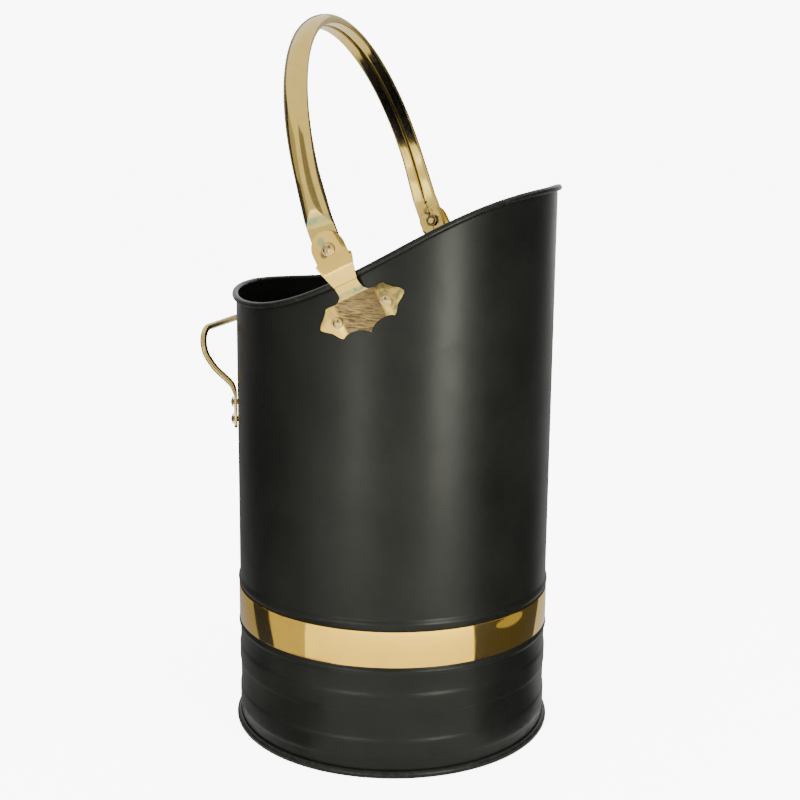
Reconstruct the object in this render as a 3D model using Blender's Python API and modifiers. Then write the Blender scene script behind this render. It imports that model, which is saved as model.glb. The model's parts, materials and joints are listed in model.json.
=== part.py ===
"""A tall round hod for logs: slanted mouth, brass band, swinging brass bail and a tipping handle.

Metres, +Z up. The origin is the middle of the flat underside, on the axis of the body. +X points to
the tall pouring lip, -X to the tipping handle, and the bail swings about a line along Y.
The front ear is the one at -Y.
"""

import math

import bmesh
import bpy
from mathutils import Matrix, Vector

# Body
BODY_RADIUS = 0.140
SHEET = 0.0009
GAP = 0.0003
ROUND_STEPS = 48
SMOOTH_DEGREES = 35.0

# Rim: height of the low lip over the floor, and the climb from it at even turns round to the tall lip
RIM_LOW = 0.3991
RIM_DIP_CLIMB = -0.0040
RIM_SIDE_CLIMB = 0.0248
RIM_SHOULDER_CLIMB = 0.0790
RIM_TALL_CLIMB = 0.0931
RIM_ROLL_RADIUS = 0.0027
RIM_ROLL_CLEAR = 0.0008
RIM_ROLL_START_DEGREES = 200.0
RIM_ROLL_TURN_DEGREES = 300.0
RIM_ROLL_STEPS = 8
RIM_NECK = 0.0020
WIRE_RESOLUTION = 1

# Swaged beads beside the band, and shallow ribs under it
LOWER_BEAD_HEIGHT = 0.0953
LOWER_BEAD_HALF = 0.0038
UPPER_BEAD_HEIGHT = 0.1362
UPPER_BEAD_HALF = 0.0051
BEAD_REACH = 0.0014
RIB_HEIGHTS = (0.0255, 0.0665)
RIB_HALF = 0.0105
RIB_REACH = 0.0008
BULGE_STEPS = 4
BAND_SHEET = 0.0006

# Bottom
BASE_SHEET = 0.0009
BASE_BEAD_RADIUS = 0.0037
BASE_BEAD_CLEAR = 0.0005
BASE_BEAD_STEPS = 6
BASE_CENTRE_RADIUS = 0.030
FLANGE_REACH = 0.0009
FLANGE_BEND = 0.0010
FLANGE_GAP = 0.0005

# Pivot of the bail
PIVOT_X = -0.0084
PIVOT_OVER_RIM = 0.02684
SCREW_RADIUS = 0.0030
SCREW_HEAD_RADIUS = 0.0056
SCREW_HEAD_HEIGHT = 0.0026
SCREW_POINT = 0.0015
SCREW_STEPS = 16
RECESS_LENGTH = 0.0050
RECESS_WIDTH = 0.0012
RECESS_DEPTH = 0.0010
RECESS_TURN_DEGREES = 12.0
NUT_HALF_FLATS = 0.0050
NUT_HEIGHT = 0.0038

# Bail
BAIL_CLEAR = 0.0055
BAIL_LEG = 0.0442
BAIL_LEAN_DEGREES = 16.6
BAIL_ASIDE = 0.0026
BAIL_SHEET = 0.0010
BAIL_WIDTH = 0.0210
BAIL_DEPTH = 0.0098
BAIL_CORNER = 0.0022
BAIL_SEAM = 0.0018
BAIL_LIP = 0.0022
BAIL_BOW_STEPS = 22
BAIL_CORNER_STEPS = 2
BAIL_CROWN_STEPS = 5
END_CLEAR = 0.0043
END_WIDTH = 0.0242
END_DEPTH = 0.0032
END_ROUNDING = 0.0014
END_LIP = 0.0013
END_TAIL = 0.0115
END_ASIDE = 0.0010
# Reaches along a leg from the pivot, between which the end is pressed, widened and set aside
PRESS_LOW = 0.0188
PRESS_HIGH = 0.0440
PRESS_POWER = 1.5
WIDEN_LOW = 0.0150
WIDEN_HIGH = 0.0620
ASIDE_LOW = 0.0050
ASIDE_HIGH = 0.0240
# Reaches of the rings of a leg, over its tail
LEG_REACHES = (0.0050, 0.0188, 0.0220, 0.0260, 0.0310, 0.0370)

# Ears
EAR_SHEET = 0.0015
EAR_TILT_DEGREES = 27.0
EAR_REACH = 0.0550
EAR_FOOT_HALF = 0.0372
EAR_FOOT_DROP = 0.0176
EAR_RIVET_HALF = 0.0217
EAR_NECK_HALF = 0.0099
EAR_NECK_START = 0.0245
EAR_SHOULDER_HALF = 0.0163
EAR_SHOULDER_DROP = 0.0088
EAR_EYE_RADIUS = 0.0143
EAR_EYE_STEPS = 12
# Bends of the ear, by their drop from the pivot: off the wall, clear of the rim, and flat
EAR_LIFT_DROP = 0.0400
EAR_CLEAR_DROP = 0.0310
EAR_LEVEL_DROP = 0.0180
EAR_STRIP = 0.0100

# Right half of the foot, from the lowest cusp round to the neck, as shares of half width and drop
EAR_FOOT_SHARES = (
    (0.000, -1.000), (0.090, -0.850), (0.190, -0.730), (0.300, -0.670), (0.420, -0.655),
    (0.530, -0.690), (0.610, -0.780), (0.670, -0.690), (0.725, -0.530), (0.800, -0.340),
    (0.910, -0.190), (1.000, -0.030), (1.000, 0.090), (0.960, 0.220), (0.850, 0.400),
    (0.765, 0.580), (0.700, 0.760), (0.620, 0.775), (0.510, 0.760), (0.415, 0.785),
    (0.340, 0.865), (0.285, 1.000), (0.266, 1.180),
)
# From the neck to the shoulder, as shares of the flare and of the climb
EAR_FLARE_SHARES = ((0.27, 0.25), (0.55, 0.53), (0.89, 0.81))

# Rivets
RIVET_RADIUS = 0.0024
RIVET_HEAD_RADIUS = 0.0047
RIVET_HEAD_HEIGHT = 0.0024
RIVET_TAIL_RADIUS = 0.0038
RIVET_TAIL_HEIGHT = 0.0015
RIVET_STEPS = 10
DOME_STEPS = 3

# Tipping handle
ROD_RADIUS = 0.0029
ROD_SIDES = 10
HANDLE_HALF_SPAN = 0.0570
HANDLE_STANDOFF = 0.0200
HANDLE_BAR_DROP = 0.0379
HANDLE_CORNER = 0.0110
HANDLE_CORNER_STEPS = 4
HANDLE_RISE = 0.0577
FOOT_LENGTH = 0.0295
FOOT_WIDTH = 0.0090
FOOT_THICK = 0.0030
FOOT_LOWER_RIVET_EDGE = 0.0083
FOOT_UPPER_RIVET_EDGE = 0.0057
# From the top of a foot to the corner of the bar, as shares of the way out and of the way up
LEG_SHARES = ((0.03, 0.085), (0.115, 0.21), (0.34, 0.34), (0.60, 0.48), (0.79, 0.63), (0.93, 0.785))
# Shares of the flattening left at the two ends of a foot and at the first points of its leg
FOOT_FLAT_SHARES = (1.0, 1.0, 0.55, 0.15)
FOOT_SQUARE_SHARE = 0.6

CUT_OVERRUN = 0.0060
BORE_SIDES = 16
RIVET_HOLE_SIDES = 12
MERGE = 0.00001


def cosine_terms(heights):
    """The cosine series that passes through heights at even turns from 0 to half a turn."""
    last = len(heights) - 1
    ends = [0.5 if i in (0, last) else 1.0 for i in range(last + 1)]
    return [
        2 * ends[k] / last
        * sum(ends[j] * h * math.cos(k * j * math.pi / last) for j, h in enumerate(heights))
        for k in range(last + 1)
    ]


RIM_CLIMBS = (RIM_TALL_CLIMB, RIM_SHOULDER_CLIMB, RIM_SIDE_CLIMB, RIM_DIP_CLIMB, 0.0)
RIM_TERMS = cosine_terms([RIM_LOW + climb for climb in RIM_CLIMBS])


def rim_height(angle):
    return sum(term * math.cos(k * angle) for k, term in enumerate(RIM_TERMS))


def rim_slope(angle):
    """Climb of the rim for each metre along the wall."""
    return -sum(k * term * math.sin(k * angle) for k, term in enumerate(RIM_TERMS)) / BODY_RADIUS


RIM_ROLL_REACH = RIM_ROLL_CLEAR + RIM_ROLL_RADIUS
PIVOT_HEIGHT = rim_height(math.acos(PIVOT_X / BODY_RADIUS)) + PIVOT_OVER_RIM
PIVOT = Vector((PIVOT_X, 0.0, PIVOT_HEIGHT))
BAIL_SPREAD = BODY_RADIUS + BAIL_CLEAR
EAR_LIFT = EAR_REACH - EAR_LIFT_DROP
EAR_OVER_RIM = EAR_REACH - EAR_CLEAR_DROP
EAR_LEVEL = EAR_REACH - EAR_LEVEL_DROP
HANDLE_BAR_HEIGHT = RIM_LOW - HANDLE_BAR_DROP
FOOT_TOP = HANDLE_BAR_HEIGHT - HANDLE_RISE
FOOT_BOTTOM = FOOT_TOP - FOOT_LENGTH
FOOT_RIVET_HEIGHTS = (FOOT_BOTTOM + FOOT_LOWER_RIVET_EDGE, FOOT_TOP - FOOT_UPPER_RIVET_EDGE)
EAR_TILT = math.radians(EAR_TILT_DEGREES)
WALL_MIDDLE = BODY_RADIUS - SHEET / 2
FACET_SAG = BODY_RADIUS * (1 - math.cos(math.pi / ROUND_STEPS))
RIVET_SEAT = BODY_RADIUS - SHEET - FACET_SAG - GAP
END_MIDDLE = BODY_RADIUS + END_CLEAR
EAR_INSIDE = END_MIDDLE + END_DEPTH / 2 + GAP
EAR_WALL_INSIDE = BODY_RADIUS + GAP
EAR_FOOT_OUTSIDE = EAR_WALL_INSIDE + EAR_SHEET
NUT_SEAT = END_MIDDLE - END_DEPTH / 2 - GAP
SCREW_SEAT = EAR_INSIDE + EAR_SHEET + GAP
SCREW_TIP = NUT_SEAT - NUT_HEIGHT - SCREW_POINT
BORE_RADIUS = SCREW_RADIUS + GAP
RIVET_HOLE = RIVET_RADIUS + GAP


def clear_scene():
    for obj in list(bpy.data.objects):
        bpy.data.objects.remove(obj)


def new_collection(name):
    collection = bpy.data.collections.new(name)
    bpy.context.scene.collection.children.link(collection)
    return collection


def new_material(name, colour, roughness, metallic):
    material = bpy.data.materials.new(name)
    material.use_nodes = True
    shader = material.node_tree.nodes["Principled BSDF"]
    shader.inputs["Base Color"].default_value = (*colour, 1.0)
    shader.inputs["Roughness"].default_value = roughness
    shader.inputs["Metallic"].default_value = metallic
    material.diffuse_color = (*colour, 1.0)
    return material


clear_scene()
PARTS = new_collection("log_carrier")
CUTTERS = new_collection("cutters")
BLACK = new_material("black_paint", (0.020, 0.021, 0.022), 0.45, 0.0)
BRASS = new_material("brass", (0.78, 0.62, 0.34), 0.18, 1.0)
STEEL = new_material("steel_wire", (0.42, 0.42, 0.43), 0.40, 1.0)


def add_mesh(name, bm, material):
    """One named object made from a bmesh, its origin at the world's origin."""
    mesh = bpy.data.meshes.new(name)
    bm.to_mesh(mesh)
    bm.free()
    obj = bpy.data.objects.new(name, mesh)
    PARTS.objects.link(obj)
    mesh.materials.append(material)
    mesh.shade_smooth()
    mesh.set_sharp_from_angle(angle=math.radians(SMOOTH_DEGREES))
    return obj


def add_solidify(obj, thickness):
    modifier = obj.modifiers.new("thickness", "SOLIDIFY")
    modifier.thickness = thickness
    modifier.offset = 0.0
    modifier.use_even_offset = True


def add_cutter(name, bm, matrix):
    mesh = bpy.data.meshes.new(name)
    bm.to_mesh(mesh)
    bm.free()
    cutter = bpy.data.objects.new(name, mesh)
    CUTTERS.objects.link(cutter)
    cutter.matrix_world = matrix
    cutter.hide_render = True
    cutter.display_type = "WIRE"
    return cutter


def cylinder_cutter(name, radius, length, matrix, sides):
    bm = bmesh.new()
    bmesh.ops.create_cone(
        bm, cap_ends=True, segments=sides, radius1=radius, radius2=radius, depth=length
    )
    return add_cutter(name, bm, matrix)


def cut(obj, cutter):
    modifier = obj.modifiers.new(cutter.name, "BOOLEAN")
    modifier.operation = "DIFFERENCE"
    modifier.object = cutter


def facing(point, direction):
    """A matrix that puts local +Z along the direction and the origin at the point."""
    return Matrix.Translation(point) @ direction.to_track_quat("Z", "Y").to_matrix().to_4x4()


def wall_direction(angle):
    """Straight out of the body, where angle 0 is the tall lip and a quarter turn is +Y."""
    return Vector((math.cos(angle), math.sin(angle), 0.0))


def arc(centre, radius, start, end, steps):
    """Points on an arc, its angles in degrees."""
    turns = [math.radians(start + (end - start) * i / steps) for i in range(steps + 1)]
    return [(centre[0] + radius * math.cos(t), centre[1] + radius * math.sin(t)) for t in turns]


def spun(rows, steps=ROUND_STEPS):
    """An open surface turned about Z from (radius, height) rows, with its rows in order."""
    bm = bmesh.new()
    verts = [bm.verts.new((radius, 0.0, height)) for radius, height in rows]
    edges = [bm.edges.new(pair) for pair in zip(verts, verts[1:])]
    bmesh.ops.spin(
        bm, geom=verts + edges, cent=(0, 0, 0), axis=(0, 0, 1),
        angle=2 * math.pi, steps=steps, use_merge=True,
    )
    bmesh.ops.remove_doubles(bm, verts=bm.verts[:], dist=MERGE)
    return bm


def bulge(height, half, reach):
    """Rows of a rounded swell of the wall, bottom to top."""
    rows = []
    for i in range(BULGE_STEPS + 1):
        share = 2 * i / BULGE_STEPS - 1
        rise = reach * (1 + math.cos(math.pi * share)) / 2
        rows.append((WALL_MIDDLE + rise, height + half * share))
    return rows


def rim_rows():
    """The neck and the roll of the rim, with heights counted from the top of the roll."""
    middle = RIM_ROLL_RADIUS - SHEET / 2
    centre = (BODY_RADIUS + RIM_ROLL_CLEAR, -RIM_ROLL_RADIUS)
    end = RIM_ROLL_START_DEGREES - RIM_ROLL_TURN_DEGREES
    neck = [(WALL_MIDDLE, -2 * RIM_ROLL_RADIUS - RIM_NECK)]
    return neck + arc(centre, middle, RIM_ROLL_START_DEGREES, end, RIM_ROLL_STEPS)


def build_body():
    flange_height = BASE_SHEET + FLANGE_GAP + SHEET / 2
    bend_centre = (WALL_MIDDLE + FLANGE_BEND, flange_height + FLANGE_BEND)
    rows = [(BODY_RADIUS + FLANGE_REACH, flange_height)]
    rows += arc(bend_centre, FLANGE_BEND, 270, 180, 2)
    for height in RIB_HEIGHTS:
        rows += bulge(height, RIB_HALF, RIB_REACH)
    rows += bulge(LOWER_BEAD_HEIGHT, LOWER_BEAD_HALF, BEAD_REACH)
    rows += bulge(UPPER_BEAD_HEIGHT, UPPER_BEAD_HALF, BEAD_REACH)
    rows += [(radius, RIM_LOW + depth) for radius, depth in rim_rows()]
    bm = spun(rows)
    for vert in bm.verts:
        if vert.co.z < RIM_LOW - 3 * RIM_ROLL_RADIUS - RIM_NECK:
            continue
        angle = math.atan2(vert.co.y, vert.co.x)
        stretch = math.hypot(1, rim_slope(angle))
        vert.co.z = rim_height(angle) + (vert.co.z - RIM_LOW) * stretch
    body = add_mesh("body_shell", bm, BLACK)
    add_solidify(body, SHEET)
    return body


def build_rim_wire():
    half_step = math.radians(RIM_ROLL_TURN_DEGREES / RIM_ROLL_STEPS / 2)
    roll_inside = (RIM_ROLL_RADIUS - SHEET) * math.cos(half_step)
    ring = BODY_RADIUS + RIM_ROLL_CLEAR
    curve = bpy.data.curves.new("rim_wire", "CURVE")
    curve.dimensions = "3D"
    curve.bevel_depth = roll_inside - GAP
    curve.bevel_resolution = WIRE_RESOLUTION
    spline = curve.splines.new("POLY")
    spline.points.add(ROUND_STEPS - 1)
    spline.use_cyclic_u = True
    for i, point in enumerate(spline.points):
        angle = 2 * math.pi * i / ROUND_STEPS
        drop = RIM_ROLL_RADIUS * math.hypot(1, rim_slope(angle))
        point.co = (ring * math.cos(angle), ring * math.sin(angle), rim_height(angle) - drop, 1)
    wire = bpy.data.objects.new("rim_wire", curve)
    curve.materials.append(STEEL)
    PARTS.objects.link(wire)


def build_base():
    middle = BASE_BEAD_RADIUS - BASE_SHEET / 2
    centre = (BODY_RADIUS + BASE_BEAD_CLEAR, BASE_BEAD_RADIUS)
    rows = [(BASE_CENTRE_RADIUS, BASE_SHEET / 2)] + arc(centre, middle, -90, 90, BASE_BEAD_STEPS)
    bm = spun(rows)
    hub = [e for e in bm.edges if e.is_boundary and e.verts[0].co.xy.length < 2 * BASE_CENTRE_RADIUS]
    bmesh.ops.edgeloop_fill(bm, edges=hub)
    bmesh.ops.recalc_face_normals(bm, faces=bm.faces[:])
    base = add_mesh("base_plate", bm, BLACK)
    add_solidify(base, BASE_SHEET)


def build_band():
    radius = BODY_RADIUS + GAP + BAND_SHEET / 2
    bottom = LOWER_BEAD_HEIGHT + LOWER_BEAD_HALF + GAP
    top = UPPER_BEAD_HEIGHT - UPPER_BEAD_HALF - GAP
    band = add_mesh("brass_band", spun([(radius, bottom), (radius, top)]), BRASS)
    add_solidify(band, BAND_SHEET)


def ear_half_outline():
    """Right half of the flat ear, from the lowest cusp to the top of the eye."""
    points = [(EAR_FOOT_HALF * u, EAR_FOOT_DROP * v) for u, v in EAR_FOOT_SHARES]
    points.append((EAR_NECK_HALF, EAR_NECK_START))
    shoulder = EAR_REACH - EAR_SHOULDER_DROP
    for flare, climb in EAR_FLARE_SHARES:
        points.append((
            EAR_NECK_HALF + (EAR_SHOULDER_HALF - EAR_NECK_HALF) * flare,
            EAR_NECK_START + (shoulder - EAR_NECK_START) * climb,
        ))
    points.append((EAR_SHOULDER_HALF, shoulder))
    points.append((EAR_EYE_RADIUS, shoulder + (EAR_SHOULDER_HALF - EAR_EYE_RADIUS) / 2))
    return points + arc((0.0, EAR_REACH), EAR_EYE_RADIUS, 0, 90, EAR_EYE_STEPS // 2)


def ear_place(across, up):
    """Way along the wall from the middle of the front side, and height, of a point of the flat ear."""
    along = PIVOT_X + EAR_REACH * math.sin(EAR_TILT)
    height = PIVOT_HEIGHT - EAR_REACH * math.cos(EAR_TILT)
    along += across * math.cos(EAR_TILT) - up * math.sin(EAR_TILT)
    return along, height + across * math.sin(EAR_TILT) + up * math.cos(EAR_TILT)


def ear_stand_off(up):
    """How far the ear has stepped out from the wall at this height of the flat ear."""
    over_rim = RIM_ROLL_REACH + GAP
    level = EAR_INSIDE - EAR_WALL_INSIDE
    if up <= EAR_LIFT:
        return 0.0
    if up <= EAR_OVER_RIM:
        return over_rim * (up - EAR_LIFT) / (EAR_OVER_RIM - EAR_LIFT)
    share = min(1.0, (up - EAR_OVER_RIM) / (EAR_LEVEL - EAR_OVER_RIM))
    return over_rim + (level - over_rim) * share


def bent_ear_point(across, up):
    """The middle of the ear's sheet: round the wall at the foot, flat and square to Y at the eye."""
    along, height = ear_place(across, up)
    radius = EAR_WALL_INSIDE + EAR_SHEET / 2 + ear_stand_off(up)
    turn = along / BODY_RADIUS
    on_wall = Vector((radius * math.sin(turn), -radius * math.cos(turn), height))
    flat = Vector((along, -radius, height))
    share = min(1.0, max(0.0, (up - EAR_LIFT) / (EAR_LEVEL - EAR_LIFT)))
    return on_wall.lerp(flat, share)


def build_ear(name, side):
    half = ear_half_outline()
    outline = half + [(-u, v) for u, v in half[-2:0:-1]]
    bm = bmesh.new()
    bm.faces.new([bm.verts.new((u, v, 0.0)) for u, v in outline])
    cuts = [((0, level), (0, 1)) for level in (EAR_LIFT, EAR_OVER_RIM, EAR_LEVEL)]
    strips = int(EAR_FOOT_HALF // EAR_STRIP)
    cuts += [((strip * EAR_STRIP, 0), (1, 0)) for strip in range(-strips, strips + 1)]
    for place, normal in cuts:
        bmesh.ops.bisect_plane(
            bm, geom=bm.verts[:] + bm.edges[:] + bm.faces[:],
            plane_co=(*place, 0), plane_no=(*normal, 0), dist=MERGE,
        )
    for vert in bm.verts:
        vert.co = bent_ear_point(vert.co.x, vert.co.y)
        vert.co.y *= -side
    bmesh.ops.recalc_face_normals(bm, faces=bm.faces[:])
    bmesh.ops.triangulate(bm, faces=bm.faces[:])
    ear = add_mesh(name, bm, BRASS)
    add_solidify(ear, EAR_SHEET)
    return ear


def turned(name, profile, material, matrix, steps=RIVET_STEPS):
    """A turned piece: its (radius, height) profile runs from the top on the axis to the bottom."""
    mesh = bpy.data.meshes.new(name)
    edges = [(i, i + 1) for i in range(len(profile) - 1)]
    mesh.from_pydata([(radius, 0.0, height) for radius, height in profile], edges, [])
    mesh.materials.append(material)
    obj = bpy.data.objects.new(name, mesh)
    PARTS.objects.link(obj)
    obj.matrix_world = matrix
    screw = obj.modifiers.new("turn", "SCREW")
    screw.steps = steps
    screw.render_steps = steps
    screw.use_merge_vertices = True
    screw.merge_threshold = MERGE
    screw.use_smooth_shade = True
    return obj


def dome(radius, height, base):
    """Profile of a low dome, from its top to its rim."""
    sphere = (radius * radius + height * height) / (2 * height)
    spread = math.degrees(math.asin(radius / sphere))
    return arc((0.0, base + height - sphere), sphere, 90, 90 - spread, DOME_STEPS)


def build_rivet(name, angle, height, seat):
    """A rivet through the wall: domed head outside on the seat, upset tail inside."""
    tail = RIVET_SEAT
    profile = dome(RIVET_HEAD_RADIUS, RIVET_HEAD_HEIGHT, seat)
    profile[0] = (0.0, profile[0][1])
    profile += [
        (RIVET_RADIUS, seat), (RIVET_RADIUS, tail), (RIVET_TAIL_RADIUS, tail),
        (RIVET_TAIL_RADIUS, tail - RIVET_TAIL_HEIGHT / 2),
        (RIVET_TAIL_RADIUS - RIVET_TAIL_HEIGHT / 2, tail - RIVET_TAIL_HEIGHT),
        (0.0, tail - RIVET_TAIL_HEIGHT),
    ]
    axis_point = Vector((0.0, 0.0, height))
    turned(name, profile, BRASS, facing(axis_point, wall_direction(angle)))


def rivet_cutter(name, angle, height):
    direction = wall_direction(angle)
    point = direction * BODY_RADIUS + Vector((0.0, 0.0, height))
    return cylinder_cutter(name, RIVET_HOLE, 2 * CUT_OVERRUN, facing(point, direction), RIVET_HOLE_SIDES)


def build_ear_rivets(body, ear, label, side):
    for word, across in (("low", -EAR_RIVET_HALF), ("tall", EAR_RIVET_HALF)):
        along, height = ear_place(across, 0.0)
        angle = side * (math.pi / 2 - along / BODY_RADIUS)
        build_rivet(f"ear_rivet_{label}_{word}", angle, height, EAR_FOOT_OUTSIDE + GAP)
        cutter = rivet_cutter(f"hole_ear_{label}_{word}", angle, height)
        cut(body, cutter)
        cut(ear, cutter)


def recess_cutter(name, matrix):
    """A cross of two equal bars, half its height under the matrix's origin."""
    bm = bmesh.new()
    reach, half = RECESS_LENGTH / 2, RECESS_WIDTH / 2
    verts = []
    for i in range(4):
        turn = Matrix.Rotation(math.radians(RECESS_TURN_DEGREES) + i * math.pi / 2, 3, "Z")
        for x, y in ((reach, -half), (reach, half), (half, half)):
            verts.append(bm.verts.new(turn @ Vector((x, y, -RECESS_DEPTH))))
    lifted = bmesh.ops.extrude_face_region(bm, geom=[bm.faces.new(verts)])
    top = [item for item in lifted["geom"] if isinstance(item, bmesh.types.BMVert)]
    bmesh.ops.translate(bm, vec=(0.0, 0.0, 2 * RECESS_DEPTH), verts=top)
    bmesh.ops.recalc_face_normals(bm, faces=bm.faces[:])
    return add_cutter(name, bm, matrix)


def build_screw(label, side):
    """Domed screw through the eye, its head outside and its point just past the nut."""
    profile = dome(SCREW_HEAD_RADIUS, SCREW_HEAD_HEIGHT, SCREW_SEAT)
    profile[0] = (0.0, profile[0][1])
    profile += [(SCREW_RADIUS, SCREW_SEAT), (SCREW_RADIUS, SCREW_TIP), (0.0, SCREW_TIP)]
    matrix = facing(PIVOT, Vector((0.0, side, 0.0)))
    screw = turned(f"pivot_screw_{label}", profile, BRASS, matrix, SCREW_STEPS)
    top = Matrix.Translation((0.0, 0.0, SCREW_SEAT + SCREW_HEAD_HEIGHT))
    cut(screw, recess_cutter(f"recess_{label}", matrix @ top))


def build_nut(label, side, bore):
    bm = bmesh.new()
    corner = NUT_HALF_FLATS / math.cos(math.pi / 6)
    bmesh.ops.create_cone(
        bm, cap_ends=True, segments=6, radius1=corner, radius2=corner, depth=NUT_HEIGHT
    )
    nut = add_mesh(f"pivot_nut_{label}", bm, BRASS)
    outward = Vector((0.0, side, 0.0))
    nut.matrix_world = facing(PIVOT + outward * (NUT_SEAT - NUT_HEIGHT / 2), outward)
    cut(nut, bore)


def loft(name, rings, material):
    """A closed skin over rings of equal count, with a face at each end."""
    bm = bmesh.new()
    rows = [[bm.verts.new(point) for point in ring] for ring in rings]
    count = len(rows[0])
    for first, second in zip(rows, rows[1:]):
        for i in range(count):
            j = (i + 1) % count
            bm.faces.new((first[i], first[j], second[j], second[i]))
    bm.faces.new(rows[0])
    bm.faces.new(rows[-1])
    bmesh.ops.remove_doubles(bm, verts=bm.verts[:], dist=MERGE)
    bmesh.ops.recalc_face_normals(bm, faces=bm.faces[:])
    return add_mesh(name, bm, material)


def mix(first, second, share):
    return first + (second - first) * share


def share_below(reach, low, high):
    """1 at the low reach and nearer, running down to 0 at the high reach and beyond."""
    return min(1.0, max(0.0, (high - reach) / (high - low)))


def sheet_line(reach, inset):
    """One face of the bail's sheet, round from one lip of the seam to the other.

    The tube is flat inside the bow and crowned outside it. Near its end the press cuts the crown
    away, so its face has a crease round it.
    The first number of a point is outward from the bow, and the second is across it.
    """
    pressed = share_below(reach, PRESS_LOW, PRESS_HIGH) ** PRESS_POWER
    widened = share_below(reach, WIDEN_LOW, WIDEN_HIGH)
    end_low = END_MIDDLE - END_DEPTH / 2 - BAIL_SPREAD
    low = mix(-BAIL_DEPTH / 2, end_low, pressed * pressed) + inset
    depth = mix(END_DEPTH, BAIL_DEPTH, math.sqrt(1 - pressed * pressed))
    high = low + depth - 2 * inset
    half = mix(BAIL_WIDTH, END_WIDTH, widened) / 2 - inset
    corner = mix(BAIL_CORNER, END_ROUNDING, pressed) - inset
    crown = BAIL_DEPTH - corner - 2 * inset
    seam = BAIL_SEAM / 2 + inset
    line = [(low - inset + mix(BAIL_LIP, END_LIP, pressed), seam), (low, seam)]
    line += arc((low + corner, half - corner), corner, 180, 90, BAIL_CORNER_STEPS)
    top = math.asin(min(1.0, (high - low - corner) / crown))
    for i in range(1, BAIL_CROWN_STEPS + 1):
        turn = top * i / BAIL_CROWN_STEPS
        line.append((low + corner + crown * math.sin(turn), half * math.cos(turn)))
    line.append((high, 0.0))
    return line + [(out, -across) for out, across in line[-2::-1]]


def bail_section(reach):
    """Closed outline of the rolled sheet, its outer face and then back along its inner face."""
    return sheet_line(reach, 0.0) + sheet_line(reach, BAIL_SHEET)[::-1]


def bail_stations():
    """(place across, height over the pivot, outward direction, reach) along the whole bail."""
    leg = (-END_TAIL, *LEG_REACHES)
    stations = [(-BAIL_SPREAD, height, (-1.0, 0.0), height) for height in leg]
    for i in range(BAIL_BOW_STEPS + 1):
        turn = math.pi * i / BAIL_BOW_STEPS
        out = (-math.cos(turn), math.sin(turn))
        reach = BAIL_LEG + BAIL_SPREAD * min(turn, math.pi - turn)
        stations.append((BAIL_SPREAD * out[0], BAIL_LEG + BAIL_SPREAD * out[1], out, reach))
    return stations + [(BAIL_SPREAD, height, (1.0, 0.0), height) for height in leg[::-1]]


def build_bail(bore):
    """The bail, modelled upright about its pivot and then leaned to the low side."""
    rings = []
    for across, height, out, reach in bail_stations():
        aside = mix(BAIL_ASIDE, END_ASIDE, share_below(reach, ASIDE_LOW, ASIDE_HIGH))
        ring = []
        for outward, sideways in bail_section(reach):
            x = sideways - aside
            ring.append(Vector((x, across + outward * out[0], height + outward * out[1])))
        rings.append(ring)
    bail = loft("bail", rings, BRASS)
    pivot = bpy.data.objects.new("bail_pivot", None)
    PARTS.objects.link(pivot)
    pivot.location = PIVOT
    pivot.rotation_euler = (0.0, -math.radians(BAIL_LEAN_DEGREES), 0.0)
    bail.parent = pivot
    cut(bail, bore)


def rod_section(flat):
    """Outline of the rod: round (0), or flattened to the foot's plate (1)."""
    half_thick = ROD_RADIUS + (FOOT_THICK / 2 - ROD_RADIUS) * flat
    half_width = ROD_RADIUS + (FOOT_WIDTH / 2 - ROD_RADIUS) * flat
    power = 1 - FOOT_SQUARE_SHARE * flat
    points = []
    for i in range(ROD_SIDES):
        turn = 2 * math.pi * (i + 0.5) / ROD_SIDES
        out, across = math.cos(turn), math.sin(turn)
        points.append((
            half_thick * math.copysign(abs(out) ** power, out),
            half_width * math.copysign(abs(across) ** power, across),
        ))
    return points


def handle_half():
    """(point, flattening) of the front leg, from the tip of its foot to the middle of the bar."""
    foot_angle = math.pi + math.asin(HANDLE_HALF_SPAN / BODY_RADIUS)
    foot = wall_direction(foot_angle) * (BODY_RADIUS + GAP + FOOT_THICK / 2)
    bar_x = -BODY_RADIUS - HANDLE_STANDOFF
    corner_height = HANDLE_BAR_HEIGHT - HANDLE_CORNER
    path = [(Vector((foot.x, foot.y, height)), flat)
            for height, flat in zip((FOOT_BOTTOM, FOOT_TOP), FOOT_FLAT_SHARES)]
    for i, (out, up) in enumerate(LEG_SHARES):
        flat = FOOT_FLAT_SHARES[i + 2] if i + 2 < len(FOOT_FLAT_SHARES) else 0.0
        point = Vector((
            foot.x + (bar_x - foot.x) * out, -HANDLE_HALF_SPAN,
            FOOT_TOP + (corner_height - FOOT_TOP) * up,
        ))
        path.append((point, flat))
    centre = (HANDLE_CORNER - HANDLE_HALF_SPAN, corner_height)
    for y, z in arc(centre, HANDLE_CORNER, 180, 90, HANDLE_CORNER_STEPS):
        path.append((Vector((bar_x, y, z)), 0.0))
    return path


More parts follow.
